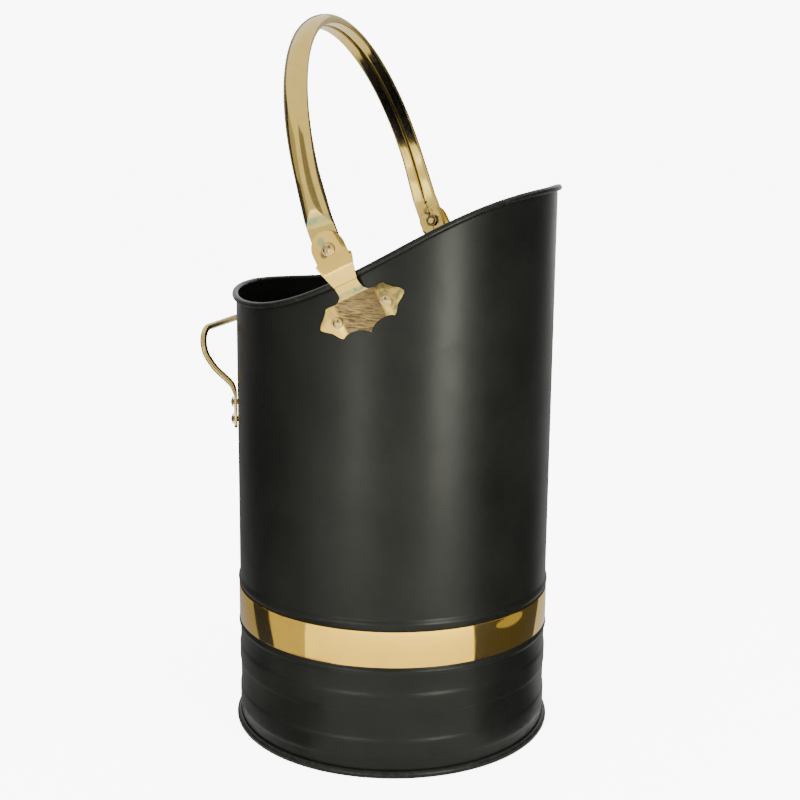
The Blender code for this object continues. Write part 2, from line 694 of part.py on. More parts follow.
def build_handle(body):
    half = handle_half()
    path = half + [(Vector((p.x, -p.y, p.z)), flat) for p, flat in half[::-1]]
    rings = []
    for i, (point, flat) in enumerate(path):
        before, after = path[max(i - 1, 0)][0], path[min(i + 1, len(path) - 1)][0]
        if flat == 1.0:
            before, after = Vector((0, 0, 0)), Vector((0, 0, 1 if point.y < 0 else -1))
        tangent = (after - before).normalized()
        lean = math.asin(max(-1.0, min(1.0, point.y / BODY_RADIUS)))
        outward = Vector((-math.cos(lean), math.sin(lean), 0.0))
        across = tangent.cross(outward).normalized()
        outward = across.cross(tangent)
        rings.append([point + outward * a + across * b for a, b in rod_section(flat)])
    handle = loft("tipping_handle", rings, BRASS)
    seat = BODY_RADIUS + FOOT_THICK + 2 * GAP
    for label, side in (("front", -1), ("back", 1)):
        angle = math.pi - side * math.asin(HANDLE_HALF_SPAN / BODY_RADIUS)
        for word, height in zip(("lower", "upper"), FOOT_RIVET_HEIGHTS):
            build_rivet(f"handle_rivet_{label}_{word}", angle, height, seat)
            cutter = rivet_cutter(f"hole_handle_{label}_{word}", angle, height)
            cut(body, cutter)
            cut(handle, cutter)


def main():
    body = build_body()
    build_rim_wire()
    build_base()
    build_band()
    bore_length = 2 * (SCREW_SEAT + CUT_OVERRUN)
    across = facing(PIVOT, Vector((0, 1, 0)))
    bore = cylinder_cutter("pivot_bore", BORE_RADIUS, bore_length, across, BORE_SIDES)
    for label, side in (("front", -1), ("back", 1)):
        ear = build_ear(f"bail_ear_{label}", side)
        build_ear_rivets(body, ear, label, side)
        cut(ear, bore)
        build_screw(label, side)
        build_nut(label, side, bore)
    build_bail(bore)
    build_handle(body)


main()
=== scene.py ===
"""A tall round hod for logs, dressed for its picture: satin black paint and polished brass.

Metres, +Z up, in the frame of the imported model. The middle of the flat underside is the origin, +X
points to the tall pouring lip, -X to the tipping handle, and the front ear is the one at -Y.
"""
import json
from math import asin, copysign, cos, degrees, hypot, pi, radians, sin

import bmesh
import bpy
from mathutils import Matrix, Vector

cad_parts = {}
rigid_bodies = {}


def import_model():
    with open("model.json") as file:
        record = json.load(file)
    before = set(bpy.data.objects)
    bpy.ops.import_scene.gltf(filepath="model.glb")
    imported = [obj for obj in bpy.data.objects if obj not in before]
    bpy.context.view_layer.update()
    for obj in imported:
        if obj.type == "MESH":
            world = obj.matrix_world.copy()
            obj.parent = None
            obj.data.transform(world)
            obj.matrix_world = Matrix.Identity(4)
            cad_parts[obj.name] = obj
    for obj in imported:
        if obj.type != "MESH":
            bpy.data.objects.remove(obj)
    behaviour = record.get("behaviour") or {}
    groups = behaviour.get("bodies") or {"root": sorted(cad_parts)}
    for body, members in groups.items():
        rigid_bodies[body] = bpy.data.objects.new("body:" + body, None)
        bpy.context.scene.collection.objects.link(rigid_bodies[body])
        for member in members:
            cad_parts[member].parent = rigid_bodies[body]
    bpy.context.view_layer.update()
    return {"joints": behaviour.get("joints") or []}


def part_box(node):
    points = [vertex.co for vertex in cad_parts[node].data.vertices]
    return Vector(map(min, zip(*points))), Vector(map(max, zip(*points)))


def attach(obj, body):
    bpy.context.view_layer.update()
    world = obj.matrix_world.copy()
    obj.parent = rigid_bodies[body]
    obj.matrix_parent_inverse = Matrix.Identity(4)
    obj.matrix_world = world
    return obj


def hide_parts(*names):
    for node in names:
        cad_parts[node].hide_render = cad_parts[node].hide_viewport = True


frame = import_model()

PIVOT = Vector(frame["joints"][0]["pos_m"])
BAND_LOW, BAND_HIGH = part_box("brass_band")

# Body
BODY_RADIUS = 0.14
SHEET = 0.0009
GAP = 0.0003
WALL_COLUMNS = 192
STROKE_STEPS = 4
EASE_STEPS = 4
MERGE = 0.00001
SMOOTH_ANGLE = radians(28)

# Rim: the low lip's height, and the climb over it at even turns from the tall lip to the low
RIM_LOW = 0.3991
RIM_CLIMBS = (0.0931, 0.079, 0.0248, -0.004, 0)
ROLL_RADIUS = 0.0027
ROLL_CLEAR = 0.0008
ROLL_STEPS = 22
ROLL_TURNS = (200, -100)   # degrees, from the wall over the top
RIM_NECK = 0.002

# Swaged beads beside the band, as height and half width, and shallow ribs under it
BEADS = ((0.0953, 0.0038), (0.1362, 0.0051))
BEAD_REACH = 0.0014
RIB_HEIGHTS = (0.0255, 0.0665)
RIB_HALF = 0.0105
RIB_REACH = 0.0008
RIB_EDGE_SHARE = 0.36
SWELL_STEPS = 12

# Folded seam up the low side of the wall, by distance along the wall from its middle
SEAM_ANGLE = radians(173.4)
SEAM_HALF = 0.0045
SEAM_RAISE = 0.0007
SEAM_FOLD = 0.0004
NOTCH_HALF = 0.0007
NOTCH_FOLD = 0.0005
NOTCH_SHARE = 0.62

# Bottom
BASE_SHEET = 0.0009
BASE_BEAD_RADIUS = 0.0037
BASE_BEAD_CLEAR = 0.0005
BASE_BEAD_STEPS = 16
BASE_RING_RADIUS = 0.108
BASE_RING_HALF = 0.007
BASE_RING_RISE = 0.0012
FLANGE_REACH = 0.0009
FLANGE_BEND = 0.001
FLANGE_GAP = 0.0005

# Band
BAND_SHEET = 0.0006
BAND_EDGE = 0.00018

# Bail
BAIL_CLEAR = 0.0055
BAIL_LEG = 0.0442
BAIL_LEAN = radians(16.6)
BAIL_ASIDE = 0.0026
BAIL_SHEET = 0.001
BAIL_WIDTH = 0.021
BAIL_DEPTH = 0.0098
BAIL_CORNER = 0.0022
BAIL_SEAM = 0.0007
BAIL_LIP = 0.0022
LIP_ROUNDING = 0.0015
END_CLEAR = 0.0043
END_WIDTH = 0.0242
END_DEPTH = 0.0032
END_TAIL = 0.0115
END_CORNER = 0.004
END_ROUNDING = 0.0014
END_LIP = 0.0013
END_ASIDE = 0.001
# Reaches along the leg from the pivot: where the end is flat, widest, and stands least aside
PRESS_REACHES = (0.0188, 0.044)
PRESS_POWER = 2
SINK_REACHES = (0.014, 0.052)
WIDEN_REACHES = (0.015, 0.062)
ASIDE_REACHES = (0.005, 0.024)
BOW_STEPS = 84
LEG_STEPS = 26
CORNER_STEPS = 4
CROWN_STEPS = 14
FACE_STEPS = 6
INSIDE_STEPS = 5
BAIL_SMOOTH_ANGLE = radians(24)

# Ears
EAR_SHEET = 0.0015
EAR_TILT = radians(27)
EAR_REACH = 0.055
EAR_FOOT_HALF = 0.0372
EAR_FOOT_DROP = 0.0176
EAR_RIVET_HALF = 0.0217
EAR_NECK_HALF = 0.0099
EAR_NECK_START = 0.0245
EAR_SHOULDER_HALF = 0.0163
EAR_SHOULDER_DROP = 0.0088
EAR_EYE_RADIUS = 0.0143
EAR_LIFT_DROP = 0.04
EAR_CLEAR_DROP = 0.031
EAR_LEVEL_DROP = 0.018
EAR_BEND_SHIFTS = (-0.0014, -0.0007, 0, 0.0007, 0.0014)
EAR_STRIP = 0.004
EAR_EDGE = 0.00035
EAR_EDGE_ANGLE = radians(50)
EAR_SMOOTH_ANGLE = radians(18)
EYE_STEPS = 24

# Screws, nuts and rivets
SCREW_RADIUS = 0.003
SCREW_HEAD_RADIUS = 0.0056
SCREW_HEAD_HEIGHT = 0.0026
SCREW_POINT = 0.0015
RECESS_LENGTH = 0.005
RECESS_WIDTH = 0.0012
RECESS_DEPTH = 0.001
RECESS_TURN = radians(12)
NUT_HALF_FLATS = 0.005
NUT_HEIGHT = 0.0038
NUT_CHAMFER = 0.0006
RIVET_RADIUS = 0.0024
RIVET_HEAD = (0.0047, 0.0024)
RIVET_TAIL_RADIUS = 0.0038
RIVET_TAIL_HEIGHT = 0.0015
HEAD_RING_SHARE = 0.74
DOME_STEPS = 7
TURNED_STEPS = 40

# Tipping handle
ROD_RADIUS = 0.0029
ROD_SIDES = 28
HANDLE_HALF_SPAN = 0.057
HANDLE_STANDOFF = 0.02
HANDLE_BAR_DROP = 0.0379
HANDLE_CORNER = 0.011
HANDLE_RISE = 0.0577
FOOT_LENGTH = 0.0295
FOOT_WIDTH = 0.009
FOOT_THICK = 0.003
FOOT_LOWER_RIVET_EDGE = 0.0083
FOOT_UPPER_RIVET_EDGE = 0.0057
FOOT_SQUARE_SHARE = 0.6
FOOT_TIP_STEPS = 6
HANDLE_CORNER_STEPS = 10
HANDLE_SMOOTH_ANGLE = radians(40)
# Knots of the leg over its foot: share of the way out and up to the corner, and flattening
LEG_SHARES = (
    (0.03, 0.085, 0.55), (0.115, 0.21, 0.15), (0.34, 0.34, 0), (0.6, 0.48, 0), (0.79, 0.63, 0),
    (0.93, 0.785, 0), (1, 1, 0),
)

# Right half of the ear's foot as strokes from point to point, in shares of half width and of drop
EAR_STROKE_SHARES = (
    ((0, -1), (0.09, -0.85), (0.19, -0.73), (0.3, -0.67), (0.42, -0.655),
     (0.53, -0.69), (0.61, -0.78)),
    ((0.61, -0.78), (0.67, -0.69), (0.725, -0.53), (0.8, -0.34), (0.91, -0.19),
     (1, -0.03)),
    ((1, -0.03), (1.012, 0.03), (1, 0.09)),
    ((1, 0.09), (0.96, 0.22), (0.85, 0.4), (0.765, 0.58), (0.7, 0.76)),
    ((0.7, 0.76), (0.62, 0.775), (0.51, 0.76), (0.415, 0.785), (0.34, 0.865),
     (0.285, 1), (0.266, 1.18)),
)
EAR_FLARE_SHARES = ((0, 0), (0.27, 0.25), (0.55, 0.53), (0.89, 0.81), (1, 1))

# Camera, as fitted to the picture: how far it stands from the axis, and where it looks
CAMERA_TURN = radians(17.7)
CAMERA_DISTANCE = 1.2393
CAMERA_HEIGHT = 0.5615
CAMERA_PITCH = radians(12.04)
CAMERA_YAW = radians(0.23)
CAMERA_ROLL = radians(-0.57)
CAMERA_LENS = 63.45
CAMERA_SENSOR = 36
CAMERA_NEAREST = 0.05

# Studio: turns are in degrees to the right of the way to the camera, seen from above
FLOOR_RADIUS = 14
FLOOR_COLOUR = (0.86, 0.86, 0.855, 1)
FLOOR_ROUGH = 0.9
FLOOR_GLOSS = 0.1
FLOOR_GLOW = 7.4
WORLD_LIGHT = 1.6
WORLD_SEEN = 9
CARD_HEIGHT = 0.001
CARD_NEAR = 0.04
CARD_FAR = 4.5
CARD_RISE = 2.6
CARD_TINT = (1, 1, 0.95)
BACK_TINT = (1, 1, 0.97)
CARDS = (
    ("dark_card_left", (-117, -122), (-103, -99), CARD_TINT, 0.03),
    ("grey_card_left", (-103, -99), (-75, -62), CARD_TINT, 0.75),
    ("dark_card_right", (70, 58), (130, 135), CARD_TINT, 0.08),
    ("back_card_right", (130, 135), (180, 180), BACK_TINT, 0.75),
    ("back_card_left", (-180, -180), (-117, -122), BACK_TINT, 0.4),
)
SHADE_HEIGHTS = (0.002, 0.002)
BENT_CARDS = (   # turns, reaches, heights, brightness
    ("dark_card_front", (-33, 3), (1.75, 1.75), (0.45, 2.15), 0.42),
    ("near_shade_left", (-135, -35), (0.155, 0.27), SHADE_HEIGHTS, 0.4),
    ("far_shade_left", (-126, -78), (0.86, 4.4), SHADE_HEIGHTS, 0.06),
    ("far_glow_right", (74, 128), (1.6, 4.4), SHADE_HEIGHTS, 0.45),
)
DISC_PLACE = (84, 0.63, 0.002)   # turn, reach, height
DISC_RADIUS = 0.14
DISC_BRIGHTNESS = 0.5
DISC_TINT = (1, 0.97, 0.9)
DISC_SIDES = 32
SOFTBOX_AIM = 0.3
SOFTBOXES = (   # turn, reach, height, width, height of the lamp, power
    ("softbox_left", -27, 2.3, 0.75, 0.7, 1.3, 48),
    ("softbox_right", 37, 2.1, 0.75, 0.6, 1.3, 76),
)
PAINT_SOFTBOXES = (
    ("paint_softbox_left", -27, 2.3, 0.42, 0.65, 0.6, 20),
    ("paint_softbox_right", 32, 2.1, 0.42, 0.5, 0.6, 30),
    ("paint_softbox_back", 180, 2.2, 0.9, 3, 1.7, 16),
)

# Finishes: a range is the part of a pattern's values that a mask is stretched over. The ears and the bail
# also get painted reflections and painted shade.
PATCH_RANGE = (0.35, 0.68)
LINE_RANGE = (0.6, 0.74)
MARK_RANGE = (0.45, 0.72)
SPECK_RANGE = (0.16, 0.06)
RUB_RANGE = (0.5, 0.66)
RUB_REACHES = (0.0006, 0.003)
PAINT_DEEP = (0.003, 0.0031, 0.0027)
PAINT_DUSTY = (0.005, 0.0051, 0.0045)
PAINT_RUBBED = (0.012, 0.0115, 0.0105)
PAINT_ROUGH = 0.34
PAINT_ROUGH_SPREAD = 0.05
PAINT_GLOSS = 0.16
PAINT_SHEEN = (0.97, 1, 0.84, 1)
PAINT_RUB_SHINE = 0.08
PAINT_PEEL = 0.00005

# Brass by name: clean and handled colour, roughness, hairlines per metre and their stretch, marks per
# metre, waves per metre and their depth
BRASSES = {
    "band_brass": ((0.92, 0.56, 0.05), (0.86, 0.51, 0.05), 0.05, 2600, 0.02, 45, 26, 0.00035),
    "bail_brass": ((0.575, 0.405, 0.088), (0.53, 0.37, 0.078), 0.1, 1800, 0.3, 60, 40, 0.00012),
    "rod_brass": ((0.6, 0.435, 0.12), (0.44, 0.315, 0.08), 0.16, 3000, 0.2, 90, 120, 0.00006),
    "ear_brass": ((0.78, 0.505, 0.088), (0.7, 0.45, 0.08), 0.09, 900, 0.12, 70, 60, 0.0001),
    "fastener_brass": ((0.58, 0.41, 0.14), (0.4, 0.27, 0.09), 0.14, 4000, 0.5, 260, 300, 0.00004),
    "aged_brass": ((0.24, 0.17, 0.065), (0.1, 0.068, 0.024), 0.22, 4000, 0.5, 260, 300, 0.00004),
}
MARK_ROUGH = 0.05
LINE_ROUGH = 0.1
PATCH_ROUGH = 0.2
LACQUER = 0.55
LACQUER_LOSS = 0.4
LACQUER_ROUGH = 0.45
HAIRLINE_DEPTH = 0.000004
BRASS_SPECK = (0.5, 0.31, 0.08)
# painted reflection: the brown, streaky patch between the ear's rivets stands in for the surroundings
# mirrored in the curved foot; the same brown paints the shade round the bail's back nut
PAINTED_BROWN = (0.078, 0.05, 0.018)
EAR_STREAK = (0.28, 0.195, 0.075)
EAR_PATCH_ACROSS = (-0.018, 0.0175)
EAR_PATCH_TOP = 0.0145
EAR_PATCH_SIDE_EDGE = 0.0012
EAR_STREAK_RANGE = (0.4, 0.62)
EAR_DARKENING = (-0.004, 0.03)
EAR_DULL_ACROSS = (0.0165, 0.0185)
EAR_DULL_UP = (0.02, 0.012)
# painted reflection: a mottled teal band just above the ear's lowest bend stands in for teal surroundings
# mirrored in the bend
EAR_BEND_TEAL_REFLECTION = (0.0002, 0.0042)
EAR_REFLECTION_EDGE = 0.0008
EAR_MOTTLE_LEAST = 0.45
# painted shade: a thin dark line along the crease at the middle bend
EAR_CREASE = (0.01, 0.0106)
EAR_CREASE_EDGE = 0.0003
EAR_DULL = (0.22, 0.19, 0.055)
# painted shade: the umber of the dark crease line and of the shadow below left of the screw
SHADE_UMBER = (0.2, 0.125, 0.045)
# painted spots by the screw: the umber one below left is a painted shadow of its head, the green one above
# left is a painted teal reflection
EAR_PAINTED_SPOTS = (   # across and up from the eye's middle, radius, colour
    (-0.0052, -0.0026, 0.003, SHADE_UMBER),
    (-0.003, 0.0074, 0.0032, (0.34, 0.38, 0.15)),
)
SPOT_EDGE = 0.3
# painted reflection: the teal of the bands at the ears' bends and at the bail's front end
REFLECTED_TEAL = (0.13, 0.25, 0.13)
BAIL_TEAL_REFLECTION = (0.0215, 0.0262)
BAIL_TEAL_EDGE = 0.0009
BAIL_TEAL_LEAST = 0.35
BAIL_SIDE_REACHES = (0.1, 0.12)
# painted shade: brown mottled darkening round the back nut, where the nut's corners shade the bail's end
BAIL_NUT_SHADE = (0.0005, 0.005, 0.009)   # across and up from the pivot, radius
NUT_SHADE_RANGE = (0.1, 0.3)
WIRE_BRIGHT = (0.55, 0.55, 0.54)
WIRE_DULL = (0.3, 0.29, 0.27)
WIRE_ROUGH = 0.22
WIRE_ROUGH_SPREAD = 0.25
WIRE_GRAIN = 0.00002

SIDES = (("front", -1), ("back", 1))
BAIL_SPREAD = BODY_RADIUS + BAIL_CLEAR
END_MIDDLE = BODY_RADIUS + END_CLEAR
EAR_INSIDE = END_MIDDLE + END_DEPTH / 2 + GAP
EAR_WALL_INSIDE = BODY_RADIUS + GAP
# Bends of the ear, bottom to top: height on the flat ear and stand-off from the wall
EAR_BENDS = (
    (EAR_REACH - EAR_LIFT_DROP, 0),
    (EAR_REACH - EAR_CLEAR_DROP, ROLL_CLEAR + ROLL_RADIUS + GAP),
    (EAR_REACH - EAR_LEVEL_DROP, EAR_INSIDE - EAR_WALL_INSIDE),
)
NUT_SEAT = END_MIDDLE - END_DEPTH / 2 - GAP
SCREW_SEAT = EAR_INSIDE + EAR_SHEET + GAP
SCREW_TIP = NUT_SEAT - NUT_HEIGHT - SCREW_POINT
HANDLE_BAR_HEIGHT = RIM_LOW - HANDLE_BAR_DROP
FOOT_TOP = HANDLE_BAR_HEIGHT - HANDLE_RISE
FOOT_BOTTOM = FOOT_TOP - FOOT_LENGTH
WALL_MIDDLE = BODY_RADIUS - SHEET / 2
SWELL_SHARES = [2 * i / SWELL_STEPS - 1 for i in range(SWELL_STEPS + 1)]


def mix(first, second, share):
    return first + (second - first) * share


def clamp(share):
    return min(1, max(0, share))


def enter(mode):
    bpy.ops.object.mode_set(mode=mode)


def deselect_everything():
    if bpy.context.mode != "OBJECT":
        enter("OBJECT")
    bpy.ops.object.select_all(action="DESELECT")


def apply_modifier(piece, kind, **settings):
    """Adds a modifier to the active piece and applies it."""
    modifier = piece.modifiers.new(kind.lower(), kind)
    for name, value in settings.items():
        setattr(modifier, name, value)
    bpy.ops.object.modifier_apply(modifier=modifier.name)


def ease_edges(piece, width, **settings):
    apply_modifier(piece, "BEVEL", width=width, limit_method="ANGLE", **settings)


def thicken(piece, thickness):
    apply_modifier(piece, "SOLIDIFY", thickness=thickness, offset=0, use_even_offset=True)


def mend():
    """Merges doubled points, turns the faces outward and ends the editing."""
    bpy.ops.mesh.select_all(action="SELECT")
    bpy.ops.mesh.remove_doubles(threshold=MERGE)
    bpy.ops.mesh.normals_make_consistent(inside=False)
    enter("OBJECT")


def draw_rings(name, rings, fill_ends=False):
    """A skin drawn ring by ring: a circle is extruded once for each ring, and takes its points."""
    deselect_everything()
    bpy.ops.mesh.primitive_circle_add(vertices=len(rings[0]), radius=BODY_RADIUS)
    piece = bpy.context.object
    piece.name = name
    enter("EDIT")
    mesh = bmesh.from_edit_mesh(piece.data)
    place = mesh.verts.layers.int.new("place")
    for index, vert in enumerate(mesh.verts):
        vert[place] = index
    for number, ring in enumerate(rings):
        if number:
            bpy.ops.mesh.extrude_region_move()
        mesh = bmesh.from_edit_mesh(piece.data)
        place = mesh.verts.layers.int["place"]
        for vert in mesh.verts:
            if vert.select:
                vert.co = ring[vert[place]]
        bmesh.update_edit_mesh(piece.data)
    bpy.ops.mesh.select_all(action="SELECT")
    if fill_ends and len(rings) > 1:
        bpy.ops.mesh.fill_holes(sides=0)
    elif fill_ends:
        bpy.ops.mesh.edge_face_add()
    mend()
    piece.data.attributes.remove(piece.data.attributes["place"])
    return piece


def select_only(piece):
    deselect_everything()
    piece.select_set(True)
    bpy.context.view_layer.objects.active = piece


def settle(piece, node, material, body="hod", angle=SMOOTH_ANGLE):
    """Shades a piece, gives it its material, hides the node it stands for and puts it on its body."""
    select_only(piece)
    bpy.ops.object.shade_smooth_by_angle(angle=angle)
    piece.data.materials.clear()
    piece.data.materials.append(material)
    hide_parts(node)
    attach(piece, body)


def arc(centre, radius, start, end, steps):
    """Points on an arc, its angles in degrees."""
    turns = [radians(start + (end - start) * i / steps) for i in range(steps + 1)]
    return [(centre[0] + radius * cos(t), centre[1] + radius * sin(t)) for t in turns]


def smooth_stroke(points):
    """More points on a smooth curve through the given ones."""
    first = tuple(2 * a - b for a, b in zip(points[0], points[1]))
    last = tuple(2 * a - b for a, b in zip(points[-1], points[-2]))
    full = [first, *points, last]
    curve = []
    for before, start, end, after in zip(full, full[1:], full[2:], full[3:]):
        for step in range(STROKE_STEPS):
            t = step / STROKE_STEPS
            curve.append(tuple(
                (2 * s + (e - b) * t + (2 * b - 5 * s + 4 * e - a) * t ** 2
                 + (3 * s - b - 3 * e + a) * t ** 3) / 2
                for b, s, e, a in zip(before, start, end, after)
            ))
    return curve + [tuple(points[-1])]


def round_point(angle, radius, height=0):
    """A place round the upright axis, where angle 0 is the tall lip and a quarter turn is +Y."""
    return Vector((radius * cos(angle), radius * sin(angle), height))


def facing(point, direction):
    """A matrix that puts local +Z along the direction and the origin at the point."""
    return Matrix.Translation(point) @ direction.to_track_quat("Z", "Y").to_matrix().to_4x4()


def cosine_terms(heights):
    """The cosine series that passes through heights at even turns from 0 to half a turn."""
    last = len(heights) - 1
    ends = [0.5 if i in (0, last) else 1 for i in range(last + 1)]
    return [
        2 * ends[k] / last
        * sum(ends[j] * h * cos(k * j * pi / last) for j, h in enumerate(heights))
        for k in range(last + 1)
    ]


RIM_TERMS = cosine_terms([RIM_LOW + climb for climb in RIM_CLIMBS])


def rim_height(angle):
    return sum(term * cos(k * angle) for k, term in enumerate(RIM_TERMS))


def rim_slope(angle):
    """Climb of the rim for each metre along the wall."""
    return -sum(k * term * sin(k * angle) for k, term in enumerate(RIM_TERMS)) / BODY_RADIUS


def wall_columns():
    """(angle, distance along the wall from the seam) of each column, closer together at the seam."""
    step = 2 * pi / WALL_COLUMNS
    reach = SEAM_HALF + SEAM_FOLD
    columns = [(i * step - pi) * BODY_RADIUS for i in range(WALL_COLUMNS)]
    columns = [along for along in columns if abs(along) > reach + SEAM_FOLD]
    for along in (reach, SEAM_HALF, NOTCH_HALF + NOTCH_FOLD, NOTCH_HALF):
        columns += [-along, along]
    return [(SEAM_ANGLE + along / BODY_RADIUS, along) for along in sorted(columns)]


COLUMNS = wall_columns()


def seam_raise(along):
    """How far the folded seam lifts the wall."""
    return SEAM_RAISE if abs(along) <= SEAM_HALF else 0


def swell(half, reach):
    """(place, rise) along a rounded swell of a sheet, from one edge to the other."""
    return [(half * share, reach * (1 + cos(pi * share)) / 2) for share in SWELL_SHARES]


def rib(height):
    """Rows of a flat-topped rib of the wall, with eased edges, bottom to top."""
    rows = []
    for share in SWELL_SHARES:
        place = copysign(1 - RIB_EDGE_SHARE * (1 - abs(share)) * 2, share)
        if abs(share) < 0.5:
            place = 2 * share * (1 - RIB_EDGE_SHARE)
        climb = min(1, (1 - abs(place)) / RIB_EDGE_SHARE)
        rise = RIB_REACH * (1 - cos(pi * climb)) / 2
        rows.append((WALL_MIDDLE + rise, height + RIB_HALF * place))
    return rows


def wall_ring(radius, height):
    """A level ring of the wall."""
    return [round_point(angle, radius + seam_raise(along), height) for angle, along in COLUMNS]


def rim_ring(out, up, rolled):
    """A ring that follows the rim, by its place from the middle of the roll: how far out and up."""
    ring = []
    for angle, along in COLUMNS:
        share = NOTCH_SHARE if rolled and abs(along) <= NOTCH_HALF else 1
        reach = BODY_RADIUS + ROLL_CLEAR + out * share + seam_raise(along)
        height = rim_height(angle) - (ROLL_RADIUS - up * share) * hypot(1, rim_slope(angle))
        ring.append(round_point(angle, reach, height))
    return ring


def build_body(material):
    """The rolled wall: a flange under the base's bead, ribs, beads, and a rim rolled outwards."""
    flange_height = BASE_SHEET + FLANGE_GAP + SHEET / 2
    bend_centre = (WALL_MIDDLE + FLANGE_BEND, flange_height + FLANGE_BEND)
    rows = [(BODY_RADIUS + FLANGE_REACH, flange_height)]
    rows += arc(bend_centre, FLANGE_BEND, 270, 180, EASE_STEPS)
    for height in RIB_HEIGHTS:
        rows += rib(height)
    for height, half in BEADS:
        rows += [(WALL_MIDDLE + rise, height + up) for up, rise in swell(half, BEAD_REACH)]
    rings = [wall_ring(radius, height) for radius, height in rows]
    inward = WALL_MIDDLE - BODY_RADIUS - ROLL_CLEAR
    rings.append(rim_ring(inward, -ROLL_RADIUS - RIM_NECK, False))
    section = arc((0, 0), ROLL_RADIUS - SHEET / 2, *ROLL_TURNS, ROLL_STEPS)
    rings += [rim_ring(out, up, True) for out, up in section]
    body = draw_rings("body_wall", rings)
    thicken(body, SHEET)
    settle(body, "body_shell", material)


def build_base(material):
    """The round bottom with a shallow pressed ring, its edge curled up over the wall's flange."""
    middle = BASE_SHEET / 2
    rows = [(0, middle), (BASE_RING_RADIUS / 2, middle)]
    ring = swell(BASE_RING_HALF, BASE_RING_RISE)
    rows += [(BASE_RING_RADIUS + out, middle + rise) for out, rise in ring]
    centre = (BODY_RADIUS + BASE_BEAD_CLEAR, BASE_BEAD_RADIUS)
    rows += arc(centre, BASE_BEAD_RADIUS - BASE_SHEET / 2, -90, 90, BASE_BEAD_STEPS)
    rings = [[round_point(angle, radius, height) for angle, _ in COLUMNS] for radius, height in rows]
    base = draw_rings("base_pan", rings)
    thicken(base, BASE_SHEET)
    settle(base, "base_plate", material)


def build_band(material):
    """The polished strip between the two beads, its long edges eased."""
    radius = BAND_HIGH.x - BAND_SHEET / 2
    rings = [wall_ring(radius, height) for height in (BAND_LOW.z, BAND_HIGH.z)]
    band = draw_rings("polished_band", rings)
    thicken(band, BAND_SHEET)
    ease_edges(band, BAND_EDGE, segments=3)
    settle(band, "brass_band", material)


def ear_half_outline():
    """Right half of the flat ear, from the lowest cusp to the top of the eye."""
    shares = [point for stroke in EAR_STROKE_SHARES for point in smooth_stroke(stroke)[:-1]]
    points = [(EAR_FOOT_HALF * u, EAR_FOOT_DROP * v) for u, v in shares]
    shoulder = EAR_REACH - EAR_SHOULDER_DROP
    for out, up in smooth_stroke(EAR_FLARE_SHARES):
        points.append((mix(EAR_NECK_HALF, EAR_SHOULDER_HALF, out), mix(EAR_NECK_START, shoulder, up)))
    points.append((EAR_EYE_RADIUS, shoulder + (EAR_SHOULDER_HALF - EAR_EYE_RADIUS) / 2))
    return points + arc((0, EAR_REACH), EAR_EYE_RADIUS, 0, 90, EYE_STEPS)


def ear_place(across, up):
    """Way along the wall from the middle of the front side, and height, of a point of the flat ear."""
    along = PIVOT.x + EAR_REACH * sin(EAR_TILT)
    height = PIVOT.z - EAR_REACH * cos(EAR_TILT)
    along += across * cos(EAR_TILT) - up * sin(EAR_TILT)
    return along, height + across * sin(EAR_TILT) + up * cos(EAR_TILT)


def straight_stand_off(up):
    for (low, low_off), (high, high_off) in zip(EAR_BENDS, EAR_BENDS[1:]):
        if up <= high:
            return mix(low_off, high_off, clamp((up - low) / (high - low)))
    return EAR_BENDS[-1][1]


def ear_stand_off(up):
    """The stand-off with each bend rounded over a short stretch."""
    return sum(straight_stand_off(up + shift) for shift in EAR_BEND_SHIFTS) / len(EAR_BEND_SHIFTS)


def bent_ear_point(across, up):
    """The middle of the ear's sheet: round the wall at the foot, flat and square to Y at the eye."""
    along, height = ear_place(across, up)
    radius = EAR_WALL_INSIDE + EAR_SHEET / 2 + ear_stand_off(up)
    turn = along / BODY_RADIUS
    on_wall = Vector((radius * sin(turn), -radius * cos(turn), height))
    flat = Vector((along, -radius, height))
    lift, level = EAR_BENDS[0][0], EAR_BENDS[-1][0]
    return on_wall.lerp(flat, clamp((up - lift) / (level - lift)))


def build_ear(label, side, material):
    """A pressed plate: cut out flat, scored where it bends, bent, and given its thickness."""
    half = ear_half_outline()
    outline = half + [(-u, v) for u, v in half[-2:0:-1]]
    ear = draw_rings(f"ear_{label}", [[Vector((u, v, 0)) for u, v in outline]], fill_ends=True)
    enter("EDIT")
    levels = [up + shift for up, _ in EAR_BENDS for shift in EAR_BEND_SHIFTS]
    cuts = [((0, level, 0), (0, 1, 0)) for level in levels]
    strips = int(EAR_FOOT_HALF // EAR_STRIP)
    cuts += [((i * EAR_STRIP, 0, 0), (1, 0, 0)) for i in range(-strips, strips + 1)]
    for place, normal in cuts:
        bpy.ops.mesh.select_all(action="SELECT")
        bpy.ops.mesh.bisect(plane_co=place, plane_no=normal, threshold=MERGE)
    enter("OBJECT")
    for vert in ear.data.vertices:
        vert.co = bent_ear_point(vert.co.x, vert.co.y)
        vert.co.y *= -side
    enter("EDIT")
    mend()
    thicken(ear, EAR_SHEET)
    ease_edges(ear, EAR_EDGE, segments=3, angle_limit=EAR_EDGE_ANGLE)
    settle(ear, f"bail_ear_{label}", material, angle=EAR_SMOOTH_ANGLE)


def turn_piece(name, profile, matrix):
    """A turned piece, from its (radius, height) profile."""
    turns = [2 * pi * i / TURNED_STEPS for i in range(TURNED_STEPS)]
    rings = [[matrix @ round_point(turn, radius, height) for turn in turns] for radius, height in profile]
    return draw_rings(name, rings)


